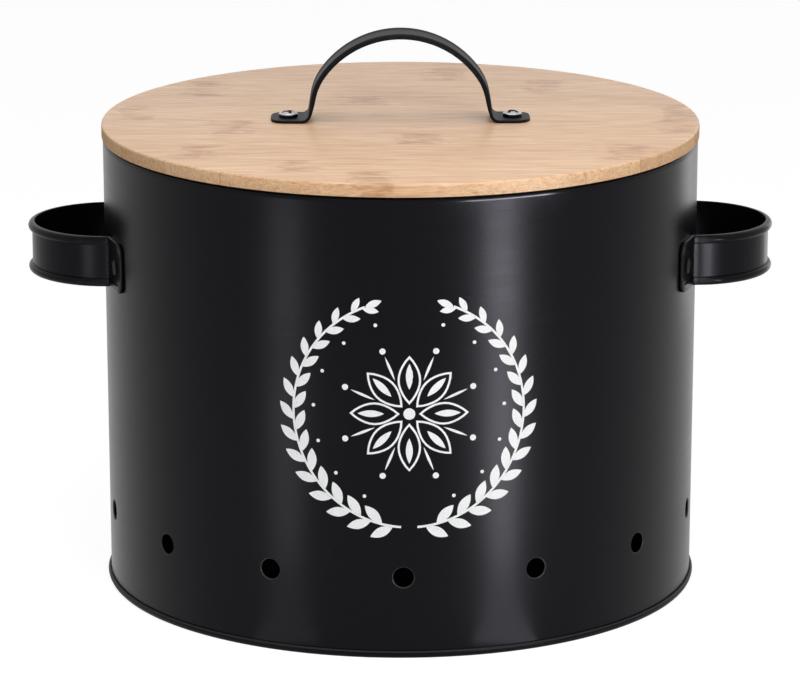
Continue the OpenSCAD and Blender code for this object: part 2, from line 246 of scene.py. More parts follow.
SETTINGS = {
    "tin_sizes": TinSizes,
    "side_handle_sizes": SideHandleSizes,
    "rivet_sizes": RivetSizes,
    "print_sizes": PrintSizes,
    "lid_sizes": LidSizes,
    "lid_handle_sizes": LidHandleSizes,
    "screw_sizes": ScrewSizes,
    "tin_finishes": Finishes,
}


# Modelling by hand: every helper acts on the active object

# Columns of the tin's mesh round its axis: twelve to a vent, when there are 14 vents.
COLUMNS = 168
# Points nearer to each other than this are one point.
SMALL = 1e-6


def begin(name):
    """Names the primitive that was just added and goes into edit mode."""
    obj = bpy.context.object
    obj.name = name
    obj.data.name = name
    bpy.ops.object.mode_set(mode="EDIT")
    return obj


def nothing_selected():
    """Deselects everything, because an operator acts on all that is selected."""
    bpy.ops.object.select_all(action="DESELECT")


def make_active(obj):
    """Selects one object alone and makes it the active one."""
    nothing_selected()
    obj.select_set(True)
    bpy.context.view_layer.objects.active = obj


def pick(obj, kind, test):
    """Selects the edges or faces that pass a test, and nothing else.

    The test gets an edge's middle and the edge, or a face's middle and its normal.
    """
    bpy.ops.mesh.select_mode(type=kind)
    bpy.ops.mesh.select_all(action="DESELECT")
    mesh = bmesh.from_edit_mesh(obj.data)
    if kind == "EDGE":
        chosen = [e for e in mesh.edges if test((e.verts[0].co + e.verts[1].co) / 2, e)]
    else:
        chosen = [f for f in mesh.faces if test(f.calc_center_median(), f.normal)]
    for part in chosen:
        part.select_set(True)
    mesh.select_flush_mode()
    bmesh.update_edit_mesh(obj.data)
    if not chosen:
        raise RuntimeError(f"nothing to select on {obj.name}")


def draw_line(name, points):
    """A chain of edges in the XZ plane through (across, up) pairs, drawn by pulling out one vertex."""
    nothing_selected()
    first = points[0]
    bpy.ops.mesh.primitive_plane_add(size=MM, location=(first[0], 0, first[1]))
    obj = begin(name)
    bpy.ops.mesh.select_mode(type="VERT")
    bpy.ops.mesh.select_all(action="SELECT")
    bpy.ops.mesh.merge(type="CENTER")
    for here, there in zip(points, points[1:]):
        step = (there[0] - here[0], 0, there[1] - here[1])
        bpy.ops.mesh.extrude_region_move(TRANSFORM_OT_translate={"value": step})
    bpy.ops.object.mode_set(mode="OBJECT")
    settle(obj)
    return obj


def edit_all(obj):
    """Goes into edit mode with the whole mesh selected."""
    make_active(obj)
    bpy.ops.object.mode_set(mode="EDIT")
    bpy.ops.mesh.select_all(action="SELECT")


def turn_outward(obj):
    """Points every face outwards."""
    edit_all(obj)
    bpy.ops.mesh.normals_make_consistent(inside=False)
    bpy.ops.object.mode_set(mode="OBJECT")


def spin_round(obj, steps):
    """Turns a line once round the Z axis and closes the seam and the poles."""
    edit_all(obj)
    bpy.ops.mesh.spin(steps=steps, angle=TURN, center=(0, 0, 0), axis=(0, 0, 1))
    bpy.ops.mesh.select_all(action="SELECT")
    bpy.ops.mesh.remove_doubles(threshold=SMALL)
    bpy.ops.mesh.normals_make_consistent(inside=False)
    bpy.ops.object.mode_set(mode="OBJECT")


def settle(obj):
    """Puts the object's place, turn and scale into its mesh."""
    make_active(obj)
    bpy.ops.object.transform_apply(location=True, rotation=True, scale=True)


def finish_with(obj, kind, **values):
    """Adds a modifier and applies it at once."""
    make_active(obj)
    modifier = obj.modifiers.new(kind.title(), kind)
    for key, value in values.items():
        setattr(modifier, key, value)
    bpy.ops.object.modifier_apply(modifier=modifier.name)


def round_edges(obj, width, degrees):
    """Rounds the edges that turn by more than an angle."""
    finish_with(
        obj, "BEVEL", width=width, segments=2, limit_method="ANGLE", angle_limit=math.radians(degrees)
    )


def smooth(obj, degrees=35):
    """Shades the object smooth but for edges that turn by more than an angle."""
    make_active(obj)
    bpy.ops.object.shade_smooth_by_angle(angle=math.radians(degrees))


def join(objects, name):
    """Joins objects into the first of them."""
    nothing_selected()
    for obj in objects:
        obj.select_set(True)
    bpy.context.view_layer.objects.active = objects[0]
    bpy.ops.object.join()
    objects[0].name = name
    objects[0].data.name = name
    return objects[0]


def copy_of(obj, name):
    """A copy with its own mesh."""
    twin = obj.copy()
    twin.data = obj.data.copy()
    twin.name = name
    bpy.context.collection.objects.link(twin)
    return twin


def arc(centre, radius, start, end, steps):
    """(across, up) pairs along an arc, both ends included. Angles are in radians."""
    turns = [start + (end - start) * i / steps for i in range(steps + 1)]
    return [(centre[0] + radius * math.cos(a), centre[1] + radius * math.sin(a)) for a in turns]


def ease(value, start, end):
    """0 up to start, 1 from end on, and a smooth rise between them."""
    t = min(1, max(0, (value - start) / (end - start)))
    return t * t * (3 - 2 * t)


def add_bar(name, sides, stations, section):
    """A bar along X. section(x) gives as many (y, z) pairs as the bar has sides, in order."""
    nothing_selected()
    bpy.ops.mesh.primitive_cylinder_add(vertices=sides, radius=1, depth=1)
    obj = begin(name)
    pick(obj, "EDGE", lambda middle, edge: abs(edge.verts[0].co.z - edge.verts[1].co.z) > 0.5)
    bpy.ops.mesh.subdivide(number_cuts=len(stations) - 2)
    bpy.ops.object.mode_set(mode="OBJECT")
    rings = [section(x) for x in stations]
    for vertex in obj.data.vertices:
        ring = round((vertex.co.z + 0.5) * (len(stations) - 1))
        side = round(math.atan2(vertex.co.x, vertex.co.y) / TURN * sides) % sides
        vertex.co = (stations[ring], *rings[ring][side])
    turn_outward(obj)
    return obj


def bend_along(obj, points):
    """Bends a bar that lies along X from x = 0 so that it follows a line of points."""
    line = bpy.data.curves.new("Bend line", "CURVE")
    line.dimensions = "3D"
    line.twist_mode = "Z_UP"
    spline = line.splines.new("POLY")
    spline.points.add(len(points) - 1)
    for knot, point in zip(spline.points, points):
        knot.co = (*point, 1)
    guide = bpy.data.objects.new("Bend line", line)
    bpy.context.collection.objects.link(guide)
    finish_with(obj, "CURVE", object=guide, deform_axis="POS_X")
    bpy.data.objects.remove(guide)
    bpy.data.curves.remove(line)


def line_length(points):
    """Length along a line of points."""
    return sum((Vector(b) - Vector(a)).length for a, b in zip(points, points[1:]))


def even_steps(start, end, step):
    """Stations from start to end, at most step apart, both ends included."""
    count = max(1, math.ceil((end - start) / step))
    return [start + (end - start) * i / count for i in range(count + 1)]


def shade_as_drum(obj, low, high):
    """Makes what lies on the upright wall between two heights shade as one smooth drum."""
    mesh = obj.data
    normals = [Vector((0, 0, 0))] * len(mesh.loops)
    for face in mesh.polygons:
        out = Vector((face.center.x, face.center.y, 0)).normalized()
        facing = face.normal.dot(out)
        if not low < face.center.z < high or abs(facing) < 0.995:
            continue
        for loop in face.loop_indices:
            point = mesh.vertices[mesh.loops[loop].vertex_index].co
            radial = Vector((point.x, point.y, 0)).normalized()
            normals[loop] = radial if facing > 0 else -radial
    mesh.normals_split_custom_set(normals)


def dress(obj, material, body, slot, *nodes):
    """Gives a finished piece its material and its body, and hides the nodes that it stands for. The slot is
    not used.
    """
    obj.data.materials.clear()
    obj.data.materials.append(material)
    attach(obj, body)
    if nodes:
        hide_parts(*nodes)


# Materials


def add_node(tree, kind, **values):
    """Adds a node. A value is one of its settings, or a constant or a socket to link for an input.

    An input goes by its name, or by its number as i0, i1 and so on.
    """
    node = tree.nodes.new(kind)
    for key, value in values.items():
        if hasattr(node, key):
            setattr(node, key, value)
            continue
        socket = node.inputs[int(key[1:])] if key[0] == "i" and key[1:].isdigit() else node.inputs[key]
        if isinstance(value, bpy.types.NodeSocket):
            tree.links.new(value, socket)
        else:
            socket.default_value = value
    return node


def maths(tree, operation, *values):
    """The result of a Math node."""
    keys = {f"i{i}": value for i, value in enumerate(values)}
    return add_node(tree, "ShaderNodeMath", operation=operation, **keys).outputs[0]


def weighted(tree, *pairs):
    """The sum of values, each times its weight."""
    parts = [value if weight == 1 else maths(tree, "MULTIPLY", value, weight) for value, weight in pairs]
    total = parts[0]
    for part in parts[1:]:
        total = maths(tree, "ADD", total, part)
    return total


def remap(tree, value, low, high, to_low=0, to_high=1, smooth_step=True):
    """Maps a value from one range to another and holds it there."""
    return add_node(
        tree,
        "ShaderNodeMapRange",
        interpolation_type="SMOOTHSTEP" if smooth_step else "LINEAR",
        i0=value,
        i1=low,
        i2=high,
        i3=to_low,
        i4=to_high,
    ).outputs[0]


def stretched(tree, vector, x, y, z):
    """A vector scaled along each axis."""
    return add_node(tree, "ShaderNodeVectorMath", operation="MULTIPLY", i0=vector, i1=(x, y, z)).outputs[0]


def noise(tree, vector, scale, detail=2, roughness=0.5):
    """Soft spots with values round 0.5."""
    node = add_node(
        tree, "ShaderNodeTexNoise", Vector=vector, Scale=scale, Detail=detail, Roughness=roughness
    )
    return node.outputs["Fac"]


def mixed(tree, factor, first, second, blend="MIX"):
    """One colour blended over another."""
    node = tree.nodes.new("ShaderNodeMix")
    node.data_type = "RGBA"
    node.blend_type = blend
    for index, value in ((0, factor), (6, first), (7, second)):
        if isinstance(value, bpy.types.NodeSocket):
            tree.links.new(value, node.inputs[index])
        else:
            node.inputs[index].default_value = value if index == 0 else (*value, 1)
    return node.outputs[2]


def new_group(name, inputs, outputs):
    """An empty node group with named sockets, and its input and output nodes."""
    group = bpy.data.node_groups.new(name, "ShaderNodeTree")
    for label, kind, default in inputs:
        socket = group.interface.new_socket(name=label, in_out="INPUT", socket_type=kind)
        if default is not None:
            socket.default_value = default
    for label, kind in outputs:
        group.interface.new_socket(name=label, in_out="OUTPUT", socket_type=kind)
    return group, group.nodes.new("NodeGroupInput"), group.nodes.new("NodeGroupOutput")


def coat_group(name):
    """Powder coat: a fine orange peel, and soft patches and rub marks in the gloss."""
    group, given, made = new_group(
        name,
        [
            ("Vector", "NodeSocketVector", None),
            ("Roughness", "NodeSocketFloat", 0.4),
            ("Patchiness", "NodeSocketFloat", 0.05),
        ],
        [("Roughness", "NodeSocketFloat"), ("Height", "NodeSocketFloat")],
    )
    place = given.outputs["Vector"]
    peel = noise(group, place, 700, 2)
    fine = noise(group, place, 2600, 1)
    patches = noise(group, place, 14, 3, 0.6)
    rubs = noise(group, stretched(group, place, 6, 6, 240), 1, 3, 0.55)
    uneven = weighted(group, (patches, 1), (rubs, 0.6))
    change = maths(group, "MULTIPLY", maths(group, "SUBTRACT", uneven, 0.8), given.outputs["Patchiness"])
    group.links.new(maths(group, "ADD", given.outputs["Roughness"], change), made.inputs["Roughness"])
    group.links.new(weighted(group, (peel, 1), (fine, 0.35)), made.inputs["Height"])
    return group


# Strips of the bamboo from the front edge to the back: where each starts across the board, its tone,
# the place of one of its knuckles and the distance between its knuckles. All but the tone are in metres.
STRIPS = (
    (-0.125, 0.40, -0.012, 0.200),
    (-0.0979, 0.75, -0.040, 0.210),
    (-0.0772, 0.25, -0.081, 0.170),
    (-0.0497, 0.60, 0.008, 0.190),
    (-0.0291, 0.45, -0.069, 0.180),
    (-0.0024, 0.80, -0.106, 0.219),
    (0.0270, 0.20, -0.014, 0.200),
    (0.0451, 0.55, -0.080, 0.140),
    (0.0775, 0.35, 0.020, 0.200),
)
# Width that the chart of the strips covers, in metres.
CHART = 0.25


def strip_chart(tree, across):
    """Tone, knuckle place and knuckle spacing of the strip at a place across the board, as a colour."""
    place = maths(tree, "ADD", maths(tree, "DIVIDE", across, CHART), 0.5)
    ramp = add_node(tree, "ShaderNodeValToRGB", Fac=place)
    chart = ramp.color_ramp
    chart.interpolation = "CONSTANT"
    for i, (start, tone, knuckle, spacing) in enumerate(STRIPS):
        place = start / CHART + 0.5
        if i < 2:
            element = chart.elements[i]
            element.position = place
        else:
            element = chart.elements.new(place)
        element.color = (tone, knuckle / CHART + 0.5, spacing / CHART, 1)
    return add_node(tree, "ShaderNodeSeparateColor", Color=ramp.outputs["Color"]).outputs


def bamboo_group(name):
    """Glued bamboo strips along X: their tones, fibres, knuckles and joints."""
    group, given, made = new_group(
        name,
        [("Vector", "NodeSocketVector", None), ("Knuckle Length", "NodeSocketFloat", 0.012)],
        [
            ("Tone", "NodeSocketFloat"),
            ("Fibre", "NodeSocketFloat"),
            ("Bundle", "NodeSocketFloat"),
            ("Knuckle", "NodeSocketFloat"),
            ("Joint", "NodeSocketFloat"),
            ("Height", "NodeSocketFloat"),
        ],
    )
    place = given.outputs["Vector"]
    axes = add_node(group, "ShaderNodeSeparateXYZ", Vector=place).outputs
    strip = strip_chart(group, axes[1])
    before = strip_chart(group, maths(group, "SUBTRACT", axes[1], 0.16 * MM))
    after = strip_chart(group, maths(group, "ADD", axes[1], 0.16 * MM))
    joint = maths(group, "ABSOLUTE", maths(group, "SUBTRACT", before[1], after[1]))
    joint = maths(group, "GREATER_THAN", joint, 0.01)

    offset = add_node(group, "ShaderNodeCombineXYZ", X=strip[1], Y=strip[2], Z=strip[0])
    shifted = add_node(group, "ShaderNodeVectorMath", operation="ADD", i0=place, i1=offset.outputs[0])
    shifted = shifted.outputs[0]
    broad = noise(group, stretched(group, shifted, 10, 170, 170), 1, 3, 0.6)
    streak = noise(group, stretched(group, shifted, 36, 780, 780), 1, 3, 0.6)
    hair = noise(group, stretched(group, shifted, 85, 2300, 2300), 1, 2, 0.5)
    fibre = weighted(group, (broad, 0.13), (streak, 0.4), (hair, 0.47))
    group.links.new(remap(group, fibre, 0.38, 0.64), made.inputs["Fibre"])

    cells = add_node(
        group, "ShaderNodeTexVoronoi", Vector=stretched(group, shifted, 30, 820, 820), Scale=1.0
    ).outputs["Distance"]
    bundle = maths(group, "MULTIPLY", remap(group, cells, 0.12, 0.42, 1, 0), remap(group, streak, 0.4, 0.6))
    group.links.new(bundle, made.inputs["Bundle"])

    from_knuckle = maths(group, "SUBTRACT", maths(group, "DIVIDE", axes[0], CHART), strip[1])
    run = maths(group, "DIVIDE", maths(group, "ADD", from_knuckle, 0.5), strip[2])
    phase = maths(group, "SUBTRACT", maths(group, "FRACT", maths(group, "ADD", run, 0.5)), 0.5)
    phase = maths(group, "ABSOLUTE", phase)
    away = maths(group, "MULTIPLY", maths(group, "MULTIPLY", phase, strip[2]), CHART)
    ragged = maths(group, "MULTIPLY", maths(group, "SUBTRACT", noise(group, shifted, 170, 3), 0.5), 0.026)
    away = maths(group, "ABSOLUTE", maths(group, "ADD", away, ragged))
    band = maths(group, "SUBTRACT", 1, maths(group, "DIVIDE", away, given.outputs["Knuckle Length"]))
    band = maths(group, "MULTIPLY", remap(group, band, 0, 0.9), remap(group, band, -0.1, 0.5, 0.3, 1))
    mottle = noise(group, stretched(group, shifted, 90, 620, 620), 1, 3, 0.6)
    patch = noise(group, stretched(group, shifted, 40, 60, 60), 1, 2)
    knuckle = maths(group, "MULTIPLY", band, remap(group, mottle, 0.34, 0.6, 0.15, 1))
    knuckle = maths(group, "MULTIPLY", knuckle, remap(group, patch, 0.34, 0.54, 0.3, 1))
    group.links.new(knuckle, made.inputs["Knuckle"])

    group.links.new(weighted(group, (strip[0], 0.65), (broad, 0.35)), made.inputs["Tone"])
    group.links.new(joint, made.inputs["Joint"])
    group.links.new(weighted(group, (joint, -0.6), (streak, 0.5)), made.inputs["Height"])
    return group


def group_named(name, build):
    """A node group, built the first time that it is asked for."""
    return bpy.data.node_groups.get(name) or build(name)


def use_group(tree, group, **values):
    """Places a node group in a material with its own values, and gives its outputs."""
    node = tree.nodes.new("ShaderNodeGroup")
    node.node_tree = group
    for key, value in values.items():
        socket = node.inputs[key.replace("_", " ")]
        if isinstance(value, bpy.types.NodeSocket):
            tree.links.new(value, socket)
        else:
            socket.default_value = value
    return node.outputs


def new_material(name, **constants):
    """A material, its node tree and its Principled BSDF with constant sockets set."""
    material = bpy.data.materials.new(name)
    material.use_nodes = True
    shader = material.node_tree.nodes["Principled BSDF"]
    for key, value in constants.items():
        socket = shader.inputs[key.replace("_", " ")]
        socket.default_value = (*value, 1) if socket.type == "RGBA" else value
    return material, material.node_tree, shader


def object_place(tree):
    """Places on the object, in metres."""
    return add_node(tree, "ShaderNodeTexCoord").outputs["Object"]


def bump(tree, shader, height, distance, strength=1.0):
    """Makes a height show as relief."""
    node = add_node(tree, "ShaderNodeBump", Height=height, Distance=distance, Strength=strength)
    tree.links.new(node.outputs[0], shader.inputs["Normal"])


def black_coat(name, shine, roughness):
    """Satin black powder coat of the tin and its handles, with a painted highlight on the edges that a piece
    marks.
    """
    look = bpy.context.scene.tin_finishes
    material, tree, shader = new_material(name, Specular_IOR_Level=shine, Specular_Tint=(0.9, 0.88, 1.0))
    place = object_place(tree)
    coat = use_group(
        tree,
        group_named("Powder coat", coat_group),
        Vector=place,
        Roughness=roughness,
        Patchiness=0.07,
    )
    tree.links.new(coat["Roughness"], shader.inputs["Roughness"])
    dust = remap(tree, noise(tree, place, 220, 3, 0.7), 0.62, 0.8)
    lighter = [channel * 2.2 for channel in look.coat]
    paint = mixed(tree, dust, look.coat, lighter)
    # The marked edges get the lighter colour as a painted highlight.
    thin = add_node(tree, "ShaderNodeAttribute", attribute_name="painted_edge_highlight").outputs["Fac"]
    tree.links.new(mixed(tree, thin, paint, look.painted_edge_highlight), shader.inputs["Base Color"])
    bump(tree, shader, coat["Height"], 0.02 * MM, 0.6)
    return material


def rivet_lacquer(name):
    """Black lacquer on the rivets, a little glossier than the coat."""
    look = bpy.context.scene.tin_finishes
    material, tree, shader = new_material(name, Specular_IOR_Level=0.12)
    place = object_place(tree)
    coat = use_group(
        tree, group_named("Powder coat", coat_group), Vector=place, Roughness=0.3, Patchiness=0.12
    )
    tree.links.new(coat["Roughness"], shader.inputs["Roughness"])
    rubbed = remap(tree, noise(tree, place, 900, 3, 0.6), 0.6, 0.78)
    lighter = [channel * 3 for channel in look.rivet]
    tree.links.new(mixed(tree, rubbed, look.rivet, lighter), shader.inputs["Base Color"])
    bump(tree, shader, coat["Height"], 0.02 * MM, 0.6)
    return material


def broken_pin(name):
    """Dark steel of the pins, with the torn grain of a break."""
    look = bpy.context.scene.tin_finishes
    material, tree, shader = new_material(name, Metallic=1.0)
    place = object_place(tree)
    grain = noise(tree, place, 3800, 3, 0.7)
    tree.links.new(remap(tree, grain, 0.3, 0.7, 0.42, 0.7), shader.inputs["Roughness"])
    lighter = [channel * 2.4 for channel in look.pin]
    tree.links.new(mixed(tree, remap(tree, grain, 0.4, 0.65), look.pin, lighter), shader.inputs["Base Color"])
    bump(tree, shader, grain, 0.05 * MM)
    return material


def zinc_steel(name):
    """Bright zinc plating with fine turning marks, a few dull spots and painted shade in the cross recess."""
    look = bpy.context.scene.tin_finishes
    material, tree, shader = new_material(name, Metallic=1.0)
    place = object_place(tree)
    spots = noise(tree, place, 650, 3, 0.65)
    scratches = noise(tree, stretched(tree, place, 900, 4200, 900), 1, 2)
    tree.links.new(remap(tree, spots, 0.35, 0.7, 0.2, 0.42), shader.inputs["Roughness"])
    dull = [channel * 0.6 for channel in look.steel]
    zinc = mixed(tree, remap(tree, spots, 0.5, 0.75), look.steel, dull)
    # Painted shade: the faces of the cross recess are darkened almost to black.
    recess = add_node(tree, "ShaderNodeAttribute", attribute_name="recess").outputs["Fac"]
    shade = maths(tree, "MULTIPLY", recess, 0.94)
    tree.links.new(mixed(tree, shade, zinc, (0.01, 0.01, 0.01)), shader.inputs["Base Color"])
    bump(tree, shader, scratches, 0.01 * MM, 0.5)
    return material


def white_ink(name):
    """Thin white screen-printed ink with a faint grain at its edges."""
    look = bpy.context.scene.tin_finishes
    material, tree, shader = new_material(name, Specular_IOR_Level=0.1)
    place = object_place(tree)
    grain = noise(tree, place, 1500, 3, 0.6)
    thin = [channel * 0.82 for channel in look.ink]
    tree.links.new(mixed(tree, remap(tree, grain, 0.52, 0.75), look.ink, thin), shader.inputs["Base Color"])
    tree.links.new(remap(tree, grain, 0.3, 0.7, 0.45, 0.6), shader.inputs["Roughness"])
    bump(tree, shader, grain, 0.01 * MM, 0.5)
    return material


def bamboo(name, lacquer):
    """Glued bamboo strips along X, with a satin lacquer where lacquer is above 0."""
    look = bpy.context.scene.tin_finishes
    material, tree, shader = new_material(name, Coat_Roughness=0.33, Specular_IOR_Level=0.22)
    place = object_place(tree)
    strips = use_group(tree, group_named("Bamboo strips", bamboo_group), Vector=place, Knuckle_Length=0.012)
    wood = mixed(tree, maths(tree, "MULTIPLY", strips["Fibre"], 0.6), look.bamboo_light, look.bamboo_dark)
    tint = mixed(tree, strips["Tone"], (0.92, 0.83, 0.8), (1.06, 1.07, 1.04))
    wood = mixed(tree, 1.0, wood, tint, "MULTIPLY")
    wood = mixed(tree, maths(tree, "MULTIPLY", strips["Bundle"], 0.3), wood, look.bamboo_knuckle)
    wood = mixed(tree, maths(tree, "MULTIPLY", strips["Knuckle"], 0.55), wood, look.bamboo_knuckle)
    wood = mixed(tree, maths(tree, "MULTIPLY", strips["Joint"], 0.35), wood, look.bamboo_knuckle)
    normal = add_node(tree, "ShaderNodeNewGeometry").outputs["Normal"]
    # 1 on the board's top and 0 on its upright rim, which is cut across the strips and duller, and darker and
    # yellower: partly the cut grain, partly painted shade on the upright edge.
    up = add_node(tree, "ShaderNodeSeparateXYZ", Vector=normal).outputs["Z"]
    rim = mixed(tree, remap(tree, up, 0.2, 0.8, 1, 0), (1, 1, 1), (0.89, 0.88, 0.84))
    wood = mixed(tree, 1.0, wood, rim, "MULTIPLY")
    tree.links.new(wood, shader.inputs["Base Color"])
    cut_ends = remap(tree, up, 0.2, 0.8, 0.9, 0.4)
    rough = maths(tree, "MAXIMUM", remap(tree, strips["Fibre"], 0, 1, 0.4, 0.55), cut_ends)
    tree.links.new(rough, shader.inputs["Roughness"])
    bump(tree, shader, strips["Height"], 0.04 * MM, 0.5)
    tree.links.new(remap(tree, up, 0.1, 0.9, 0, lacquer), shader.inputs["Coat Weight"])
    return material


def material_named(name, build, *values):
    """A material, built the first time that it is asked for."""
    return bpy.data.materials.get(name) or build(name, *values)


def coat_material():
    """The coat of the wall and the side handles."""
    look = bpy.context.scene.tin_finishes
    return material_named("Satin black coat", black_coat, look.coat_shine, look.coat_roughness)


def strap_material():
    """The lid handle's coat, which is rougher than the wall's."""
    look = bpy.context.scene.tin_finishes
    return material_named("Rough black coat", black_coat, look.strap_shine, look.dull_roughness)


def dull_coat_material():
    """The base's coat, which is rougher and darker than the wall's."""
    look = bpy.context.scene.tin_finishes
    return material_named("Dull black coat", black_coat, look.base_shine, look.dull_roughness)


# The tin


def wall_radius(sizes, height):
    """Outer radius of the wall, which widens a little from the foot to the rim."""
    foot = sizes.seam_height - sizes.sheet / 2
    curl = sizes.rim_height - sizes.curl_radius
    return sizes.foot_radius + (sizes.top_radius - sizes.foot_radius) * (height - foot) / (curl - foot)


class STORAGETIN_OT_wall(bpy.types.Operator):
    """Model the rolled wall with its curled rim, vents and side seam"""

    bl_idname = "storagetin.wall"
    bl_label = "Tin wall"

    def execute(self, context):
        sizes = context.scene.tin_sizes
        half = sizes.sheet / 2
        curl_middle = (sizes.top_radius - sizes.curl_radius, sizes.rim_height - sizes.curl_radius)
        # The folded edge at the foot is a little rounder than the sheet is thick.
        fold_radius = half * 1.05
        fold_middle = (sizes.foot_radius, sizes.sheet + half + fold_radius + sizes.seam_gap)
        fold = arc(fold_middle, fold_radius, 0, -math.pi, 6)
        curl = arc(curl_middle, sizes.curl_radius - half, 0, 1.5 * math.pi, 18)
        hook = [(fold[0][0], sizes.seam_height * 0.65)]
        obj = draw_line("tin_wall_sheet", hook + fold + curl)
        spin_round(obj, COLUMNS)
        finish_with(obj, "SOLIDIFY", thickness=sizes.sheet, offset=0, use_even_offset=True)
        self.raise_side_seam(obj, sizes)
        self.cut_vents(obj, sizes)
        round_edges(obj, sizes.edge_round, 50)
        smooth(obj)
        shade_as_drum(obj, sizes.seam_height + sizes.sheet, sizes.rim_height - 2 * sizes.curl_radius)
        dress(obj, coat_material(), "tin", "black_coating", "tin_wall")
        return {"FINISHED"}

    def raise_side_seam(self, obj, sizes):
        """Lifts a narrow band of the outer face at the back, half a pitch past the rear vent."""
        middle = math.pi / 2 + math.pi / sizes.vents
        sweep = sizes.lap_width / sizes.foot_radius
        low = sizes.seam_height + sizes.sheet
        high = sizes.rim_height - sizes.curl_radius - sizes.sheet
        way = Vector((math.cos(middle), math.sin(middle), 0))

        def on_outer_face(centre, normal, reach):
            flat = Vector((centre.x, centre.y, 0))
            near = flat.angle(way) < reach and low - sizes.sheet < centre.z < sizes.rim_height
            return near and normal.dot(flat.normalized()) > 0.9

        make_active(obj)
        bpy.ops.object.mode_set(mode="EDIT")
        cuts = [((0, 0, z), (0, 0, 1)) for z in (low, high)]
        for edge in (middle - sweep / 2, middle + sweep / 2):
            cuts.append(((0, 0, 0), (-math.sin(edge), math.cos(edge), 0)))
        for point, normal in cuts:
            pick(obj, "FACE", lambda centre, n: on_outer_face(centre, n, 2 * sweep))
            bpy.ops.mesh.bisect(plane_co=point, plane_no=normal)
        pick(
            obj,
            "FACE",
            lambda centre, n: on_outer_face(centre, n, sweep / 2) and low < centre.z < high,
        )
        bpy.ops.mesh.extrude_region_shrink_fatten(
            TRANSFORM_OT_shrink_fatten={"value": sizes.lap_height}
        )
        bpy.ops.object.mode_set(mode="OBJECT")

    def cut_vents(self, obj, sizes):
        """Punches the ring of vents, one of them in the middle of the front."""
        punch = self.turn_punch(sizes)
        cutters = []
        for i in range(sizes.vents):
            turn = -math.pi / 2 + TURN * i / sizes.vents
            cutter = copy_of(punch, f"vent_punch_{i}")
            cutter.rotation_euler = (0, math.pi / 2, turn)
            reach = sizes.foot_radius
            cutter.location = (reach * math.cos(turn), reach * math.sin(turn), sizes.vent_height)
            settle(cutter)
            cutters.append(cutter)
        bpy.data.objects.remove(punch)
        punch = join(cutters, "vent_punch")
        finish_with(obj, "BOOLEAN", object=punch, operation="DIFFERENCE", solver="EXACT")
        bpy.data.objects.remove(punch)
        self.mark_vent_edges(obj, sizes)

    def turn_punch(self, sizes):
        """A punch that widens where it leaves the sheet, so that a vent's outer edge comes out round."""
        bore = sizes.vent_diameter / 2
        roll = sizes.vent_roll
        line = [(0, -bore), (bore, -bore)]
        line += arc((bore + roll, -roll), roll, math.pi, math.pi * 0.56, 5)
        line += [(bore + 1.3 * roll, roll), (0, roll)]
        obj = draw_line("vent_punch", line)
        spin_round(obj, 48)
        return obj

    def mark_vent_edges(self, obj, sizes):
        """Notes for the material where to paint a highlight: the rounded edges round the vents."""
        reach = sizes.vent_diameter / 2 + sizes.vent_roll
        values = obj.data.attributes.new("painted_edge_highlight", "FLOAT", "FACE").data
        for face, value in zip(obj.data.polygons, values):
            out = Vector((face.center.x, face.center.y, 0)).normalized()
            rolled = 0.1 < face.normal.dot(out) < 0.98
            value.value = 1 if rolled and abs(face.center.z - sizes.vent_height) < reach else 0


# The seam's lower corner, drawn out in points: millimetres in from its outer face and up from its foot.
SEAM_CORNER = ((1.15, 0), (0.75, 0.18), (0.4, 0.55), (0.16, 1.05))


class STORAGETIN_OT_base(bpy.types.Operator):
    """Model the pressed base with the double seam that holds the wall"""

    bl_idname = "storagetin.base"
    bl_label = "Tin base"

    def execute(self, context):
        sizes = context.scene.tin_sizes
        half = sizes.sheet / 2
        pan = sizes.floor_height - half
        leg = sizes.foot_radius - sizes.sheet - half - sizes.seam_gap
        lip = sizes.seam_radius - half
        bend = 0.55 * MM
        quarter = math.pi / 2
        line = [
            (0, pan + sizes.step_height),
            (sizes.step_radius - sizes.step_run, pan + sizes.step_height),
            (sizes.step_radius, pan),
        ]
        line += arc((leg - bend, pan - bend), bend, quarter, 0, 5)
        line += arc((leg + bend, half + bend), bend, 2 * quarter, 3 * quarter, 5)
        line += [(lip - inward * MM, half + up * MM) for inward, up in SEAM_CORNER]
        roll = 0.7 * MM
        line += arc((lip - roll, sizes.seam_height - half - roll), roll, -quarter * 0.2, quarter, 7)
        line.append((sizes.foot_radius + 0.08 * MM, sizes.seam_height - half))
        obj = draw_line("tin_base_pan", line)
        spin_round(obj, COLUMNS)
        finish_with(obj, "SOLIDIFY", thickness=sizes.sheet, offset=0, use_even_offset=True)
        round_edges(obj, sizes.edge_round, 60)
        smooth(obj, 40)
        self.mark_seam_edge(obj, sizes)
        dress(obj, dull_coat_material(), "tin", "black_coating", "tin_base")
        return {"FINISHED"}

    def mark_seam_edge(self, obj, sizes):
        """Notes for the material where to paint a highlight: the upward-facing faces of the seam's rounded
        top edge.
        """
        values = obj.data.attributes.new("painted_edge_highlight", "FLOAT", "FACE").data
        for face, value in zip(obj.data.polygons, values):
            centre = face.center
            on_seam = centre.z > sizes.seam_height / 2 and math.hypot(*centre.xy) > sizes.foot_radius
            value.value = 0.7 if on_seam and 0.5 < face.normal.z < 0.97 else 0


# The side handles


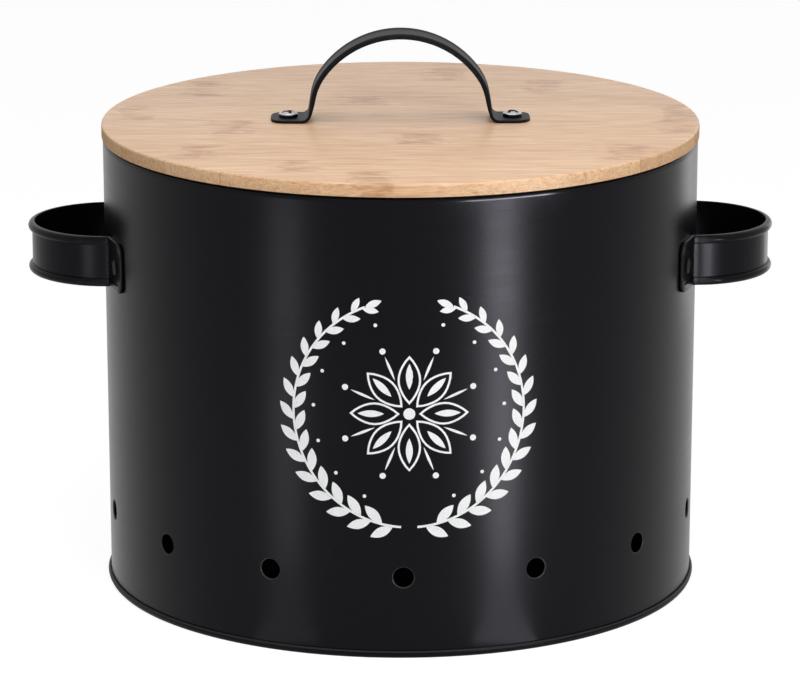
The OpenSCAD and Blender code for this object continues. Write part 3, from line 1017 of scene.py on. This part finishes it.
def strip_line(sizes):
    """Mid-line of the right handle's strip in the XY plane, from the front tab's tip to the rear tab's."""
    half = sizes.thickness / 2
    face = sizes.tab_radius + sizes.thickness
    bend_y = sizes.loop_radius + sizes.bend_radius
    bend_x = math.sqrt((face + sizes.bend_radius) ** 2 - bend_y**2)
    start = math.atan2(bend_y, bend_x)
    tip = start + sizes.tab / sizes.tab_radius
    rear = arc((bend_x + sizes.leg, 0), sizes.loop_radius - half, 0, math.pi / 2, 60)
    rear += arc((bend_x, bend_y), sizes.bend_radius + half, 1.5 * math.pi, math.pi + start, 24)
    rear += arc((0, 0), face - half, start, tip, 24)
    front = [(x, -y) for x, y in reversed(rear)]
    return front[:-1] + rear


def strip_section(sizes, proud, half_height, flat, square):
    """Closed outline of the strip across its length: (y, z) pairs, the outer face towards -Y.

    square is 1 where the rolled edge is round and less where it is pressed to a flat band.
    """
    half = sizes.thickness / 2 * flat
    rounding = 0.3 * sizes.thickness
    bead_half = sizes.bead_height / 2
    middle = half_height - bead_half - 0.1 * MM
    upper = [(half, 0), (half, middle * 0.5), (half, half_height - rounding)]
    upper += [(half - 0.3 * rounding, half_height - 0.3 * rounding), (half - rounding, half_height)]
    for i in range(13):
        a = math.pi / 2 - math.pi * i / 12
        out = -half - proud * max(0, math.cos(a)) ** square
        upper.append((out + (1 - i / 12) * 0.3 * half, middle + bead_half * math.sin(a)))
    below = middle - bead_half - 0.5 * MM
    upper += [(-half, below), (-half, below * 0.5), (-half, 0)]
    lower = [(y, -z) for y, z in reversed(upper[1:-1])]
    return upper + lower


class STORAGETIN_OT_side_handles(bpy.types.Operator):
    """Model the two riveted loop handles with their rolled edges"""

    bl_idname = "storagetin.side_handles"
    bl_label = "Side handles"

    def execute(self, context):
        sizes = context.scene.side_handle_sizes
        line = strip_line(sizes)
        total = line_length(line)
        right = self.bent_strip(sizes, line, total)
        left = copy_of(right, "side_handle_left_strip")
        edit_all(left)
        bpy.ops.transform.resize(value=(-1, 1, 1), center_override=(0, 0, 0))
        bpy.ops.object.mode_set(mode="OBJECT")
        turn_outward(left)
        smooth(left, 40)
        dress(right, coat_material(), "tin", "black_coating", "side_handle_right")
        dress(left, coat_material(), "tin", "black_coating", "side_handle_left")
        return {"FINISHED"}

    def bent_strip(self, sizes, line, total):
        """The right handle's strip, modelled straight and bent along its line."""
        bend = sizes.tab + sizes.bend_radius * 1.6
        full_bead = bend + 12 * MM
        no_bead = bend + 4 * MM

        def section(x):
            near = min(x, total - x)
            bead = ease(near, no_bead, full_bead)
            proud = sizes.bead * (sizes.pressed_bead + (1 - sizes.pressed_bead) * bead)
            proud *= ease(near, -MM, 3 * MM)
            into = max(0, sizes.tab_corner - near)
            cut = sizes.tab_corner - math.sqrt(max(0, sizes.tab_corner**2 - into**2))
            thin = 0.55 + 0.45 * ease(near, 0, 0.4 * MM)
            return strip_section(sizes, proud, sizes.width / 2 - cut, thin, 0.3 + 0.7 * bead)

        ends = [x * MM for x in (0, 0.1, 0.25, 0.5, 0.9, 1.4, 2, 2.8, 3.6)]
        first = ends + even_steps(sizes.tab_corner, sizes.tab, 1.1 * MM)
        turn = even_steps(sizes.tab, bend, 0.25 * MM)[1:]
        loop = even_steps(bend, total - bend, 1.1 * MM)[1:-1]
        half_way = first + turn
        stations = half_way + loop + [total - x for x in reversed(half_way)]
        sides = len(section(total / 2))
        obj = add_bar("side_handle_right_strip", sides, stations, section)
        bend_along(obj, [(x, y, 0) for x, y in line])
        obj.location.z = (strip_low.z + strip_high.z) / 2
        settle(obj)
        smooth(obj, 40)
        return obj


def rivet_angles(context):
    """Angle of each rivet round the tin, and a word for its place."""
    strip = context.scene.side_handle_sizes
    rivet = context.scene.rivet_sizes
    face = strip.tab_radius + strip.thickness
    bend_y = strip.loop_radius + strip.bend_radius
    start = math.asin(bend_y / (face + strip.bend_radius))
    out = start + rivet.from_bend / strip.tab_radius
    return {
        "right_front": -out,
        "right_back": out,
        "left_back": math.pi - out,
        "left_front": math.pi + out,
    }


def set_in_wall(context, obj):
    """Copies a piece that was turned round Z to the four rivets, its Z axis pointing out of the wall."""
    strip = context.scene.side_handle_sizes
    reach = strip.tab_radius + strip.thickness
    height = (strip_low.z + strip_high.z) / 2
    copies = []
    for place, turn in rivet_angles(context).items():
        twin = copy_of(obj, f"{obj.name}_{place}")
        twin.rotation_euler = (0, math.pi / 2, turn)
        twin.location = (reach * math.cos(turn), reach * math.sin(turn), height)
        settle(twin)
        copies.append(twin)
    bpy.data.objects.remove(obj)
    return copies


class STORAGETIN_OT_rivets(bpy.types.Operator):
    """Model the four hollow blind rivets of the side handles"""

    bl_idname = "storagetin.rivets"
    bl_label = "Rivets"

    def execute(self, context):
        sizes = context.scene.rivet_sizes
        bore = sizes.pin / 2 + 0.05 * MM
        head = sizes.head / 2
        rise = sizes.head_height - sizes.head_edge
        dome = (head**2 + rise**2) / (2 * rise)
        tilt = math.asin(head / dome)
        top = arc((0, sizes.head_height - dome), dome, math.pi / 2 - tilt, math.pi / 2 - bore / dome, 10)
        inner_end = -sizes.grip - sizes.bulb_length
        line = [(bore, inner_end), (sizes.bulb / 2 - 0.4 * MM, inner_end)]
        line += [(sizes.bulb / 2, inner_end + 0.4 * MM), (sizes.bulb / 2, -sizes.grip - 0.3 * MM)]
        line += [(sizes.shank / 2, -sizes.grip), (sizes.shank / 2, 0)]
        line += [(head - 0.15 * MM, 0), (head, 0.15 * MM)]
        line += top
        line += [(bore, sizes.head_height - 0.25 * MM), (bore, inner_end)]
        obj = draw_line("rivet", line)
        spin_round(obj, 40)
        smooth(obj, 40)
        lacquer = material_named("Black rivet lacquer", rivet_lacquer)
        for piece in set_in_wall(context, obj):
            dress(piece, lacquer, "tin", "black_rivet", "handle_rivets")
        return {"FINISHED"}


class STORAGETIN_OT_rivet_pins(bpy.types.Operator):
    """Model the broken pin that stays in each rivet"""

    bl_idname = "storagetin.rivet_pins"
    bl_label = "Rivet pins"

    def execute(self, context):
        sizes = context.scene.rivet_sizes
        seat = -sizes.grip - sizes.bulb_length
        top = sizes.head_height - sizes.pin_depth
        pin = sizes.pin / 2
        head = sizes.pin_head / 2
        line = [(0, seat - sizes.pin_head_length)]
        line += arc((head - 0.5 * MM, seat - sizes.pin_head_length + 0.5 * MM), 0.5 * MM, -math.pi / 2, 0, 4)
        line += [(head, seat), (pin, seat), (pin, top - 0.25 * MM), (pin * 0.78, top - 0.02 * MM)]
        line += [(pin * 0.45, top - 0.12 * MM), (pin * 0.2, top), (0, top - 0.05 * MM)]
        obj = draw_line("rivet_pin", line)
        spin_round(obj, 24)
        smooth(obj, 40)
        steel = material_named("Broken pin steel", broken_pin)
        for piece in set_in_wall(context, obj):
            dress(piece, steel, "tin", "mandrel_steel", "rivet_mandrels")
        return {"FINISHED"}


# The printed ornament


def draw_plate(name, outline):
    """A flat face in the XZ plane inside a closed line of (across, up) pairs."""
    obj = draw_line(name, outline + outline[:1])
    edit_all(obj)
    bpy.ops.mesh.remove_doubles(threshold=SMALL)
    bpy.ops.mesh.edge_face_add()
    bpy.ops.object.mode_set(mode="OBJECT")
    return obj


def leaf_outline(start, end, width):
    """A pointed oval along the first axis from start to end."""
    steps = 10
    upper = []
    for i in range(steps + 1):
        t = i / steps
        upper.append((start + (end - start) * t, width / 2 * math.sin(math.pi * t) ** 0.85))
    return upper + [(across, -up) for across, up in reversed(upper[1:-1])]


def stamp(obj, across, up, turn, size=1.0):
    """A copy of a flat shape, turned about the origin in its plane, scaled and moved."""
    twin = copy_of(obj, f"{obj.name}_copy")
    twin.rotation_euler = (0, -turn, 0)
    twin.scale = (size, size, size)
    twin.location = (across, 0, up)
    settle(twin)
    return twin


class STORAGETIN_OT_print(bpy.types.Operator):
    """Model the white ornament on the front: two leafy stems round a plain rosette"""

    bl_idname = "storagetin.print"
    bl_label = "Printed ornament"

    def execute(self, context):
        sizes = context.scene.print_sizes
        wall = bpy.data.objects.get("tin_wall_sheet")
        if wall is None:
            raise RuntimeError("the wall has to be modelled before its print")
        right = self.draw_stem(sizes)
        left = copy_of(right, "stem_left")
        left.scale.x = -1
        settle(left)
        obj = join([right, left, self.draw_rosette(sizes)], "front_print")
        self.wrap(context, obj, wall, sizes)
        dress(obj, material_named("White screen ink", white_ink), "tin", "print_white")
        return {"FINISHED"}

    def draw_stem(self, sizes):
        """The right half of the wreath, from the bottom up."""
        radius = sizes.radius - sizes.leaf * math.sin(sizes.leaf_lean)
        start = -math.pi / 2 + sizes.bottom_gap / 2
        end = math.pi / 2 - sizes.opening / 2
        stem = draw_line("stem", arc((0, 0), radius - sizes.stem / 2, start, end, 60))
        bpy.ops.object.mode_set(mode="EDIT")
        bpy.ops.mesh.select_mode(type="VERT")
        bpy.ops.mesh.select_all(action="SELECT")
        bpy.ops.mesh.extrude_region_move()
        widen = (radius + sizes.stem / 2) / (radius - sizes.stem / 2)
        bpy.ops.transform.resize(value=(widen, 1, widen), center_override=(0, 0, 0))
        bpy.ops.object.mode_set(mode="OBJECT")
        leaf = draw_plate("leaf", leaf_outline(0.2 * MM, sizes.leaf, sizes.leaf_width))
        berry = draw_plate("berry", arc((0, 0), sizes.dot * 0.3, 0, TURN * 11 / 12, 11))
        parts = [stem]
        for i in range(sizes.leaves):
            t = (i + 0.6) / sizes.leaves
            size = 1 - 0.35 * t**2
            here = start + (end - start) * t
            onward = here + math.pi / 2
            for side in (-1, 1):
                shift = here + side * 0.5 * (end - start) / sizes.leaves / 2
                foot = radius - side * sizes.stem * 0.2
                turn = onward + side * sizes.leaf_lean
                parts.append(stamp(leaf, foot * math.cos(shift), foot * math.sin(shift), turn, size))
            if i % 2 == 1:
                inside = radius - sizes.leaf * 0.82
                at = here + 0.55 * (end - start) / sizes.leaves
                parts.append(stamp(berry, inside * math.cos(at), inside * math.sin(at), 0))
        parts.append(stamp(leaf, radius * math.cos(end), radius * math.sin(end), end + math.pi / 2, 0.7))
        bpy.data.objects.remove(leaf)
        bpy.data.objects.remove(berry)
        return join(parts, "stem_right")

    def draw_rosette(self, sizes):
        """Hollow petals with a slim leaf in each, and a dot on a stalk between them.

        Where each part starts and ends is a share of the rosette's radius.
        """
        inner = sizes.rosette * 0.16
        reach = sizes.rosette * 1.16
        petal = draw_plate("petal", leaf_outline(inner, sizes.rosette, sizes.petal_width))
        edit_all(petal)
        bpy.ops.mesh.inset(thickness=sizes.line, depth=0)
        bpy.ops.mesh.delete(type="FACE")
        bpy.ops.object.mode_set(mode="OBJECT")
        vein = draw_plate(
            "vein", leaf_outline(sizes.rosette * 0.42, sizes.rosette * 0.86, sizes.petal_width * 0.3)
        )
        stalk = draw_plate(
            "stalk", leaf_outline(sizes.rosette * 0.62, sizes.rosette * 1.06, sizes.line * 1.3)
        )
        dot = draw_plate("dot", arc((0, 0), sizes.dot / 2, 0, TURN * 19 / 20, 19))
        heart = draw_plate("heart", arc((0, 0), inner * 0.62, 0, TURN * 23 / 24, 23))
        parts = [heart]
        for i in range(sizes.petals):
            turn = TURN * i / sizes.petals + math.pi / 2
            between = turn + math.pi / sizes.petals
            parts.append(stamp(petal, 0, 0, turn))
            parts.append(stamp(vein, 0, 0, turn))
            parts.append(stamp(stalk, 0, 0, between))
            parts.append(stamp(dot, reach * math.cos(between), reach * math.sin(between), 0))
        for obj in (petal, vein, stalk, dot):
            bpy.data.objects.remove(obj)
        return join(parts, "rosette")

    def wrap(self, context, obj, wall, sizes):
        """Lays the flat ornament on the wall, cut where the wall has its columns."""
        radius = wall_radius(context.scene.tin_sizes, sizes.height)
        column = TURN * radius / COLUMNS
        # Columns that the print may reach to each side of the middle of the front.
        spare = 18
        obj.location = (spare * column + sizes.turn * radius, 0, sizes.height)
        settle(obj)
        bpy.ops.object.mode_set(mode="EDIT")
        for i in range(2 * spare):
            bpy.ops.mesh.select_all(action="SELECT")
            bpy.ops.mesh.bisect(plane_co=(i * column, 0, 0), plane_no=(1, 0, 0))
        bpy.ops.object.mode_set(mode="OBJECT")
        reach = TURN * spare / COLUMNS
        front = -math.pi / 2
        around = arc((0, 0), radius, front - reach, front + reach, 2 * spare)
        bend_along(obj, [(x, y, 0) for x, y in around])
        finish_with(
            obj,
            "SHRINKWRAP",
            target=wall,
            wrap_method="NEAREST_SURFACEPOINT",
            wrap_mode="ABOVE_SURFACE",
            offset=sizes.ink * 0.7,
        )
        finish_with(obj, "SOLIDIFY", thickness=sizes.ink, offset=0)
        turn_outward(obj)
        smooth(obj)
        shade_as_drum(obj, 0, context.scene.tin_sizes.rim_height)


# The lid


def add_board(name, radius, low, high):
    """A round board between two heights."""
    nothing_selected()
    bpy.ops.mesh.primitive_cylinder_add(
        vertices=COLUMNS + COLUMNS // 2,
        radius=radius,
        depth=high - low,
        location=(0, 0, (low + high) / 2),
    )
    obj = bpy.context.object
    obj.name = name
    obj.data.name = name
    settle(obj)
    return obj


def ease_rim(obj, height, width, segments):
    """Rounds or chamfers the rim of a board at one height."""
    make_active(obj)
    bpy.ops.object.mode_set(mode="EDIT")
    pick(
        obj,
        "EDGE",
        lambda middle, edge: all(abs(v.co.z - height) < SMALL for v in edge.verts),
    )
    bpy.ops.mesh.bevel(offset=width, segments=segments, affect="EDGES")
    bpy.ops.object.mode_set(mode="OBJECT")


class STORAGETIN_OT_lid_board(bpy.types.Operator):
    """Model the round bamboo board"""

    bl_idname = "storagetin.lid_board"
    bl_label = "Lid board"

    def execute(self, context):
        sizes = context.scene.lid_sizes
        obj = add_board("lid_board_bamboo", sizes.radius, sizes.bottom, sizes.top)
        ease_rim(obj, sizes.top, sizes.rounding, 5)
        ease_rim(obj, sizes.bottom, sizes.chamfer, 2)
        smooth(obj, 32)
        material = material_named("Lacquered bamboo", bamboo, 0.35)
        dress(obj, material, "lid", "bamboo", "lid_board")
        return {"FINISHED"}


class STORAGETIN_OT_lid_disc(bpy.types.Operator):
    """Model the locating disc under the board"""

    bl_idname = "storagetin.lid_disc"
    bl_label = "Locating disc"

    def execute(self, context):
        sizes = context.scene.lid_sizes
        obj = add_board("lid_locating_disc_bamboo", sizes.disc_radius, sizes.disc_bottom, sizes.bottom)
        ease_rim(obj, sizes.disc_bottom, sizes.disc_chamfer, 3)
        smooth(obj, 32)
        material = material_named("Plain bamboo", bamboo, 0.2)
        dress(obj, material, "lid", "bamboo", "lid_locating_disc")
        return {"FINISHED"}


class StrapShape:
    """Line and section of the lid handle, which is cut flat, turned in along its edges and bent."""

    def __init__(self, sizes, lid_top):
        self.sizes = sizes
        half = sizes.sheet / 2
        bend = (sizes.span / 2 - sizes.heel, lid_top + sizes.sheet + sizes.bend_radius)
        lean = sizes.lean
        leg_x = bend[0] - sizes.bend_radius * math.cos(lean) - sizes.leg * math.sin(lean)
        leg_z = bend[1] - sizes.bend_radius * math.sin(lean) + sizes.leg * math.cos(lean)
        shoulder = (
            leg_x - sizes.shoulder_radius * math.cos(lean),
            leg_z - sizes.shoulder_radius * math.sin(lean),
        )
        drop = lid_top + sizes.height - shoulder[1]
        crown_radius = (shoulder[0] ** 2 + drop**2 - sizes.shoulder_radius**2) / (
            2 * (drop - sizes.shoulder_radius)
        )
        crown_z = lid_top + sizes.height - crown_radius
        spread = math.atan2(shoulder[0], shoulder[1] - crown_z)
        upright = math.pi / 2
        parts = [
            arc((0, crown_z), crown_radius - half, upright, upright - spread, 60),
            arc(shoulder, sizes.shoulder_radius - half, upright - spread, lean, 24),
            arc(bend, sizes.bend_radius + half, math.pi + lean, 3 * upright, 20),
            [(sizes.span / 2 + sizes.toe, lid_top + half)],
        ]
        right = [point for part in parts for point in part]
        self.line = [(-x, 0, z) for x, z in reversed(right[1:])] + [(x, 0, z) for x, z in right]
        self.total = line_length(self.line)
        self.foot = sizes.heel + sizes.toe
        self.bend_end = self.foot + (sizes.bend_radius + half) * (upright - lean)
        self.leg_end = self.bend_end + sizes.leg

    def section(self, x):
        """Closed outline across the strap at one place along it: (y, z) pairs, the outer face upwards."""
        sizes = self.sizes
        near = min(x, self.total - x)
        turned = ease(near, self.foot + 2 * MM, self.bend_end + 9 * MM)
        half = sizes.sheet / 2
        radius = sizes.edge_radius
        straight = max(0, sizes.depth - sizes.sheet - radius)
        flat = sizes.width / 2 - half - radius
        developed = flat + radius * math.pi / 2 + straight
        widen = 1 - ease(near, self.foot, self.leg_end)
        developed += (sizes.foot_width / 2 - half - developed) * widen
        into = max(0, sizes.foot_corner - near)
        cut = sizes.foot_corner - math.sqrt(max(0, sizes.foot_corner**2 - into**2))
        developed -= cut
        thick = half * (0.5 + 0.5 * ease(near, 0, 0.5 * MM))
        bent = turned * math.pi / 2
        mid = self.mid_line(developed, flat, radius, bent, sizes.groove * turned)
        outer = [(y + thick * math.sin(a), z + thick * math.cos(a)) for y, z, a in mid]
        inner = [(y - thick * math.sin(a), z - thick * math.cos(a)) for y, z, a in mid]
        y, z, a = mid[-1]
        nose = []
        for ahead, aside in ((0.7, 0.9), (1, 0.5), (1, -0.5), (0.7, -0.9)):
            on = thick * ahead
            up = thick * aside
            nose.append((y + on * math.cos(a) + up * math.sin(a), z - on * math.sin(a) + up * math.cos(a)))
        right = outer + nose + list(reversed(inner))
        left = [(-y, z) for y, z in reversed(right[1:-1])]
        return right + left

    def mid_line(self, developed, flat, radius, bent, groove):
        """(across, up, tilt) of the mid-sheet from the middle of the strap to its edge."""
        points = []
        flat = min(flat, developed)
        # The groove is level up to its brink and rises from there to the turned edge.
        brink = flat * 0.68
        for y in [0, flat * 0.3, flat * 0.6] + even_steps(brink, flat, (flat - brink) / 5.5):
            t = max(0, (y - brink) / (flat - brink))
            up = groove * (t * t * (3 - 2 * t) - 1)
            slope = groove * 6 * t * (1 - t) / (flat - brink)
            points.append((y, up, -math.atan(slope)))
        y, z, _ = points[-1]
        rest = developed - flat
        steps = 8
        bend_length = radius * math.pi / 2
        for i in range(1, steps + 1):
            a = bent * min(1, rest * i / steps / bend_length)
            y += rest / steps * math.cos(a)
            z -= rest / steps * math.sin(a)
            points.append((y, z, a))
        return points


class STORAGETIN_OT_lid_handle(bpy.types.Operator):
    """Model the bent strap handle on the lid"""

    bl_idname = "storagetin.lid_handle"
    bl_label = "Lid handle"

    def execute(self, context):
        shape = StrapShape(context.scene.lid_handle_sizes, context.scene.lid_sizes.top)
        ends = [x * MM for x in (0, 0.12, 0.3, 0.6, 1, 1.5, 2.2, 3, 4, 5)]
        toe = ends + even_steps(6 * MM, shape.foot, 1.2 * MM)
        bend = even_steps(shape.foot, shape.bend_end, 0.3 * MM)[1:]
        rest = even_steps(shape.bend_end, shape.total - shape.bend_end, 1.1 * MM)[1:-1]
        half_way = toe + bend
        stations = half_way + rest + [shape.total - x for x in reversed(half_way)]
        sides = len(shape.section(0))
        obj = add_bar("lid_handle_strap", sides, stations, shape.section)
        bend_along(obj, shape.line)
        smooth(obj, 45)
        dress(obj, strap_material(), "lid", "black_coating", "lid_handle")
        return {"FINISHED"}


class STORAGETIN_OT_lid_screws(bpy.types.Operator):
    """Model the two cross-recess screws of the lid handle"""

    bl_idname = "storagetin.lid_screws"
    bl_label = "Lid handle screws"

    def execute(self, context):
        sizes = context.scene.screw_sizes
        strap = context.scene.lid_handle_sizes
        seat = context.scene.lid_sizes.top + strap.sheet
        obj = self.turned_screw(sizes)
        self.cut_recess(obj, sizes)
        round_edges(obj, 0.12 * MM, 40)
        smooth(obj, 40)
        zinc = material_named("Bright zinc screw", zinc_steel)
        for side, turn, name in ((-1, 20, "left"), (1, 50, "right")):
            twin = copy_of(obj, f"lid_screw_{name}")
            twin.rotation_euler = (0, 0, math.radians(turn))
            twin.location = (side * strap.span / 2, 0, seat)
            settle(twin)
            dress(twin, zinc, "lid", "screw_steel", "lid_handle_screws")
        bpy.data.objects.remove(obj)
        return {"FINISHED"}

    def turned_screw(self, sizes):
        """A screw without its recess, its head seated at z = 0."""
        head = sizes.head / 2
        rise = sizes.head_height - sizes.head_edge
        dome = (head**2 + rise**2) / (2 * rise)
        tilt = math.asin(head / dome)
        line = arc((0, sizes.head_height - dome), dome, math.pi / 2, math.pi / 2 - tilt, 10)
        line += [(head, 0.15 * MM), (head - 0.15 * MM, 0), (sizes.core / 2, 0)]
        turns = math.floor((sizes.under_head - sizes.point) / sizes.pitch)
        for i in range(turns):
            line.append((sizes.thread / 2, -(i + 0.5) * sizes.pitch))
            line.append((sizes.core / 2, -(i + 1) * sizes.pitch))
        line.append((0, -sizes.under_head))
        obj = draw_line("lid_screw", line)
        spin_round(obj, 48)
        return obj

    def cut_recess(self, obj, sizes):
        """Presses a cross into the head, its arms narrower at the bottom."""
        arms = []
        for turn in (0, math.pi / 2):
            nothing_selected()
            bpy.ops.mesh.primitive_cube_add(size=1, location=(0, 0, 0), rotation=(0, 0, turn))
            arm = bpy.context.object
            arm.scale = (sizes.recess, sizes.recess_width, 2 * sizes.recess_depth)
            arm.location.z = sizes.head_height
            settle(arm)
            bpy.ops.object.mode_set(mode="EDIT")
            pick(arm, "FACE", lambda centre, normal: normal.z < -0.9)
            bpy.ops.transform.resize(value=(0.7, 0.7, 1), center_override=(0, 0, 0))
            bpy.ops.object.mode_set(mode="OBJECT")
            arms.append(arm)
        # A cone opens the middle of the cross.
        nothing_selected()
        bpy.ops.mesh.primitive_cone_add(
            vertices=24,
            radius1=0.16 * sizes.recess,
            radius2=0.34 * sizes.recess,
            depth=2 * sizes.recess_depth,
            location=(0, 0, sizes.head_height),
        )
        arms.append(bpy.context.object)
        for arm in arms:
            finish_with(obj, "BOOLEAN", object=arm, operation="DIFFERENCE", solver="EXACT")
            bpy.data.objects.remove(arm)
        self.mark_recess(obj, sizes)

    def mark_recess(self, obj, sizes):
        """Notes for the material which faces lie in the recess, where it paints shade."""
        values = obj.data.attributes.new("recess", "FLOAT", "FACE").data
        for face, value in zip(obj.data.polygons, values):
            inside = face.center.xy.length < sizes.recess * 0.55 and face.normal.z < 0.8
            deep = face.center.xy.length < sizes.recess * 0.3 and face.center.z < sizes.head_height * 0.6
            value.value = 1 if face.center.z > 0.1 * MM and (inside or deep) else 0


# The studio

# Lamps: name, place, what it points at, direction of its height, width, height and power in watts.
# The overhead lamp and the softboxes light the object, and only the first also shows as a reflection.
# The strips show only as reflections. Those in front draw the upright gleams on the wall: the far ones
# its upper part and the gleams on the side handles, the near ones the part below, and the low ones,
# which lie on the floor, the last stretch down to the foot. The one at the rim, which ends below the
# lid's top, draws the thin light line on the curl under the lid. The back strip draws the light on
# the wall's right-hand edge and on the outer end of the handle there.
UP = (0, 0, 1)
OVERHEAD = ("Overhead softbox", (0, -0.1, 0.78), (0, 0, 0.18), (0, 1, 0), 0.55, 0.45, 1.12)
SOFTBOXES = (
    ("Front softbox", (0, -0.48, 0.52), (0, -0.05, 0.18), UP, 0.5, 0.2, 1.55),
    ("Right softbox", (0.75, -0.95, 0.45), (0, 0, 0.15), UP, 0.35, 0.35, 3.9),
)
SHINE_STRIPS = (
    ("Right rim strip", (0.0522, -0.1281, 0.1845), (0.0396, -0.1125, 0.1825), UP, 0.046, 0.005, 0.065),
    ("Right near strip", (0.114, -0.2066, 0.038), (0.0395, -0.1119, 0.038), UP, 0.034, 0.074, 0.115),
    ("Right far strip", (0.2858, -0.4271, 0.054), (0.0395, -0.1119, 0.054), UP, 0.09, 0.096, 0.87),
    ("Right low strip", (0.081, -0.1633, 0.001), (0.081, -0.1633, 1), (0.63, -0.78, 0), 0.03, 0.118, 0.05),
    ("Left near strip", (-0.1298, -0.1948, 0.038), (-0.0452, -0.1097, 0.038), UP, 0.036, 0.074, 0.029),
    ("Left far strip", (-0.327, -0.393, 0.054), (-0.0452, -0.1097, 0.054), UP, 0.09, 0.096, 0.18),
    (
        "Left low strip",
        (-0.0917, -0.1566, 0.001),
        (-0.0917, -0.1566, 1),
        (-0.7, -0.71, 0),
        0.03,
        0.118,
        0.012,
    ),
    ("Back strip", (0.37, 0.35, 0.18), (0.1, 0, 0.18), UP, 0.12, 0.35, 0.17),
)


class STORAGETIN_OT_stage(bpy.types.Operator):
    """Set up the pale floor, the soft lamps and the camera"""

    bl_idname = "storagetin.stage"
    bl_label = "Studio"

    def execute(self, context):
        self.add_floor(context)
        self.light_world(context)
        self.add_lamp(context, *OVERHEAD)
        for lamp in SOFTBOXES:
            self.add_lamp(context, *lamp).visible_glossy = False
        for lamp in SHINE_STRIPS:
            self.add_lamp(context, *lamp).visible_diffuse = False
        self.add_camera(context)
        context.scene.view_settings.view_transform = "Standard"
        return {"FINISHED"}

    def add_lamp(self, context, name, place, aim, upward, width, height, power):
        """An area lamp that points at a place, its height along the upward direction."""
        lamp = bpy.data.lights.new(name, "AREA")
        lamp.shape = "RECTANGLE"
        lamp.size = width
        lamp.size_y = height
        lamp.energy = power
        obj = bpy.data.objects.new(name, lamp)
        out = (Vector(place) - Vector(aim)).normalized()
        side = Vector(upward).cross(out).normalized()
        obj.location = place
        obj.rotation_euler = Matrix((side, out.cross(side), out)).transposed().to_euler()
        obj.visible_camera = False
        context.collection.objects.link(obj)
        return obj

    def add_floor(self, context):
        """A pale floor that shows white and keeps the object's shadow."""
        nothing_selected()
        bpy.ops.mesh.primitive_plane_add(size=12, location=(0, 0, 0))
        floor = bpy.context.object
        floor.name = "studio_floor"
        look = context.scene.tin_finishes
        material, tree, shader = new_material(
            "Pale studio floor", Base_Color=look.floor, Roughness=0.9, Specular_IOR_Level=0.0
        )
        # This much glow and what is left of the floor's own light add up to white, and the shadow stays.
        glow = 0.7
        white = add_node(tree, "ShaderNodeEmission", Strength=1.27)
        part = maths(tree, "MULTIPLY", self.seen_directly(tree), glow)
        blend = add_node(
            tree, "ShaderNodeMixShader", i0=part, i1=shader.outputs[0], i2=white.outputs[0]
        )
        tree.links.new(blend.outputs[0], tree.nodes["Material Output"].inputs["Surface"])
        floor.data.materials.append(material)

    def seen_directly(self, tree):
        """1 for what the camera sees, also mirrored or through glass, and 0 for light on the object."""
        ray = add_node(tree, "ShaderNodeLightPath").outputs
        seen = maths(tree, "MAXIMUM", ray["Is Camera Ray"], ray["Is Glossy Ray"])
        return maths(tree, "MAXIMUM", seen, ray["Is Transmission Ray"])

    def light_world(self, context):
        """A white surrounding that shines more weakly on the object than it looks."""
        plain_light = 0.29
        world = bpy.data.worlds.new("Studio")
        context.scene.world = world
        world.use_nodes = True
        tree = world.node_tree
        background = tree.nodes["Background"]
        background.inputs["Color"].default_value = (1, 1, 1, 1)
        strength = remap(tree, self.seen_directly(tree), 0, 1, plain_light, 1, False)
        tree.links.new(strength, background.inputs["Strength"])

    def add_camera(self, context):
        """The photograph's view: 14.6 degrees down, from 1.86 m, with a long lens."""
        camera = bpy.data.cameras.new("Camera")
        camera.sensor_width = 36
        camera.lens = 206.2
        camera.clip_end = 20
        obj = bpy.data.objects.new("Camera", camera)
        target = Vector((-0.00015, 0, 0.09507))
        tilt = math.radians(14.607)
        turn = math.radians(-0.58)
        distance = 1.86463
        back = Vector((math.sin(turn) * math.cos(tilt), -math.cos(turn) * math.cos(tilt), math.sin(tilt)))
        obj.location = target + back * distance
        obj.rotation_euler = (-back).to_track_quat("-Z", "Y").to_euler()
        context.collection.objects.link(obj)
        context.scene.camera = obj


OPERATORS = (
    STORAGETIN_OT_stage,
    STORAGETIN_OT_wall,
    STORAGETIN_OT_base,
    STORAGETIN_OT_side_handles,
    STORAGETIN_OT_rivets,
    STORAGETIN_OT_rivet_pins,
    STORAGETIN_OT_print,
    STORAGETIN_OT_lid_board,
    STORAGETIN_OT_lid_disc,
    STORAGETIN_OT_lid_handle,
    STORAGETIN_OT_lid_screws,
)


class STORAGETIN_PT_pieces(bpy.types.Panel):
    """Lists the pieces of the storage tin"""

    bl_idname = "STORAGETIN_PT_pieces"
    bl_label = "Storage tin"
    bl_space_type = "VIEW_3D"
    bl_region_type = "UI"
    bl_category = "Storage tin"

    def draw(self, context):
        for operator in OPERATORS:
            self.layout.operator(operator.bl_idname)
        for name in SETTINGS:
            box = self.layout.box()
            settings = getattr(context.scene, name)
            for key in settings.__annotations__:
                box.prop(settings, key)


def register():
    """Makes the sizes, the operators and the panel known to Blender."""
    for name, group in SETTINGS.items():
        bpy.utils.register_class(group)
        setattr(bpy.types.Scene, name, PointerProperty(type=group))
    for operator in OPERATORS:
        bpy.utils.register_class(operator)
    bpy.utils.register_class(STORAGETIN_PT_pieces)


def unregister():
    """Takes back what register did."""
    bpy.utils.unregister_class(STORAGETIN_PT_pieces)
    for operator in reversed(OPERATORS):
        bpy.utils.unregister_class(operator)
    for name, group in SETTINGS.items():
        delattr(bpy.types.Scene, name)
        bpy.utils.unregister_class(group)


def main():
    """Makes the sizes known, sets up the studio and models every piece."""
    register()
    for operator in OPERATORS:
        family, name = operator.bl_idname.split(".")
        getattr(getattr(bpy.ops, family), name)()


if __name__ == "__main__":
    main()
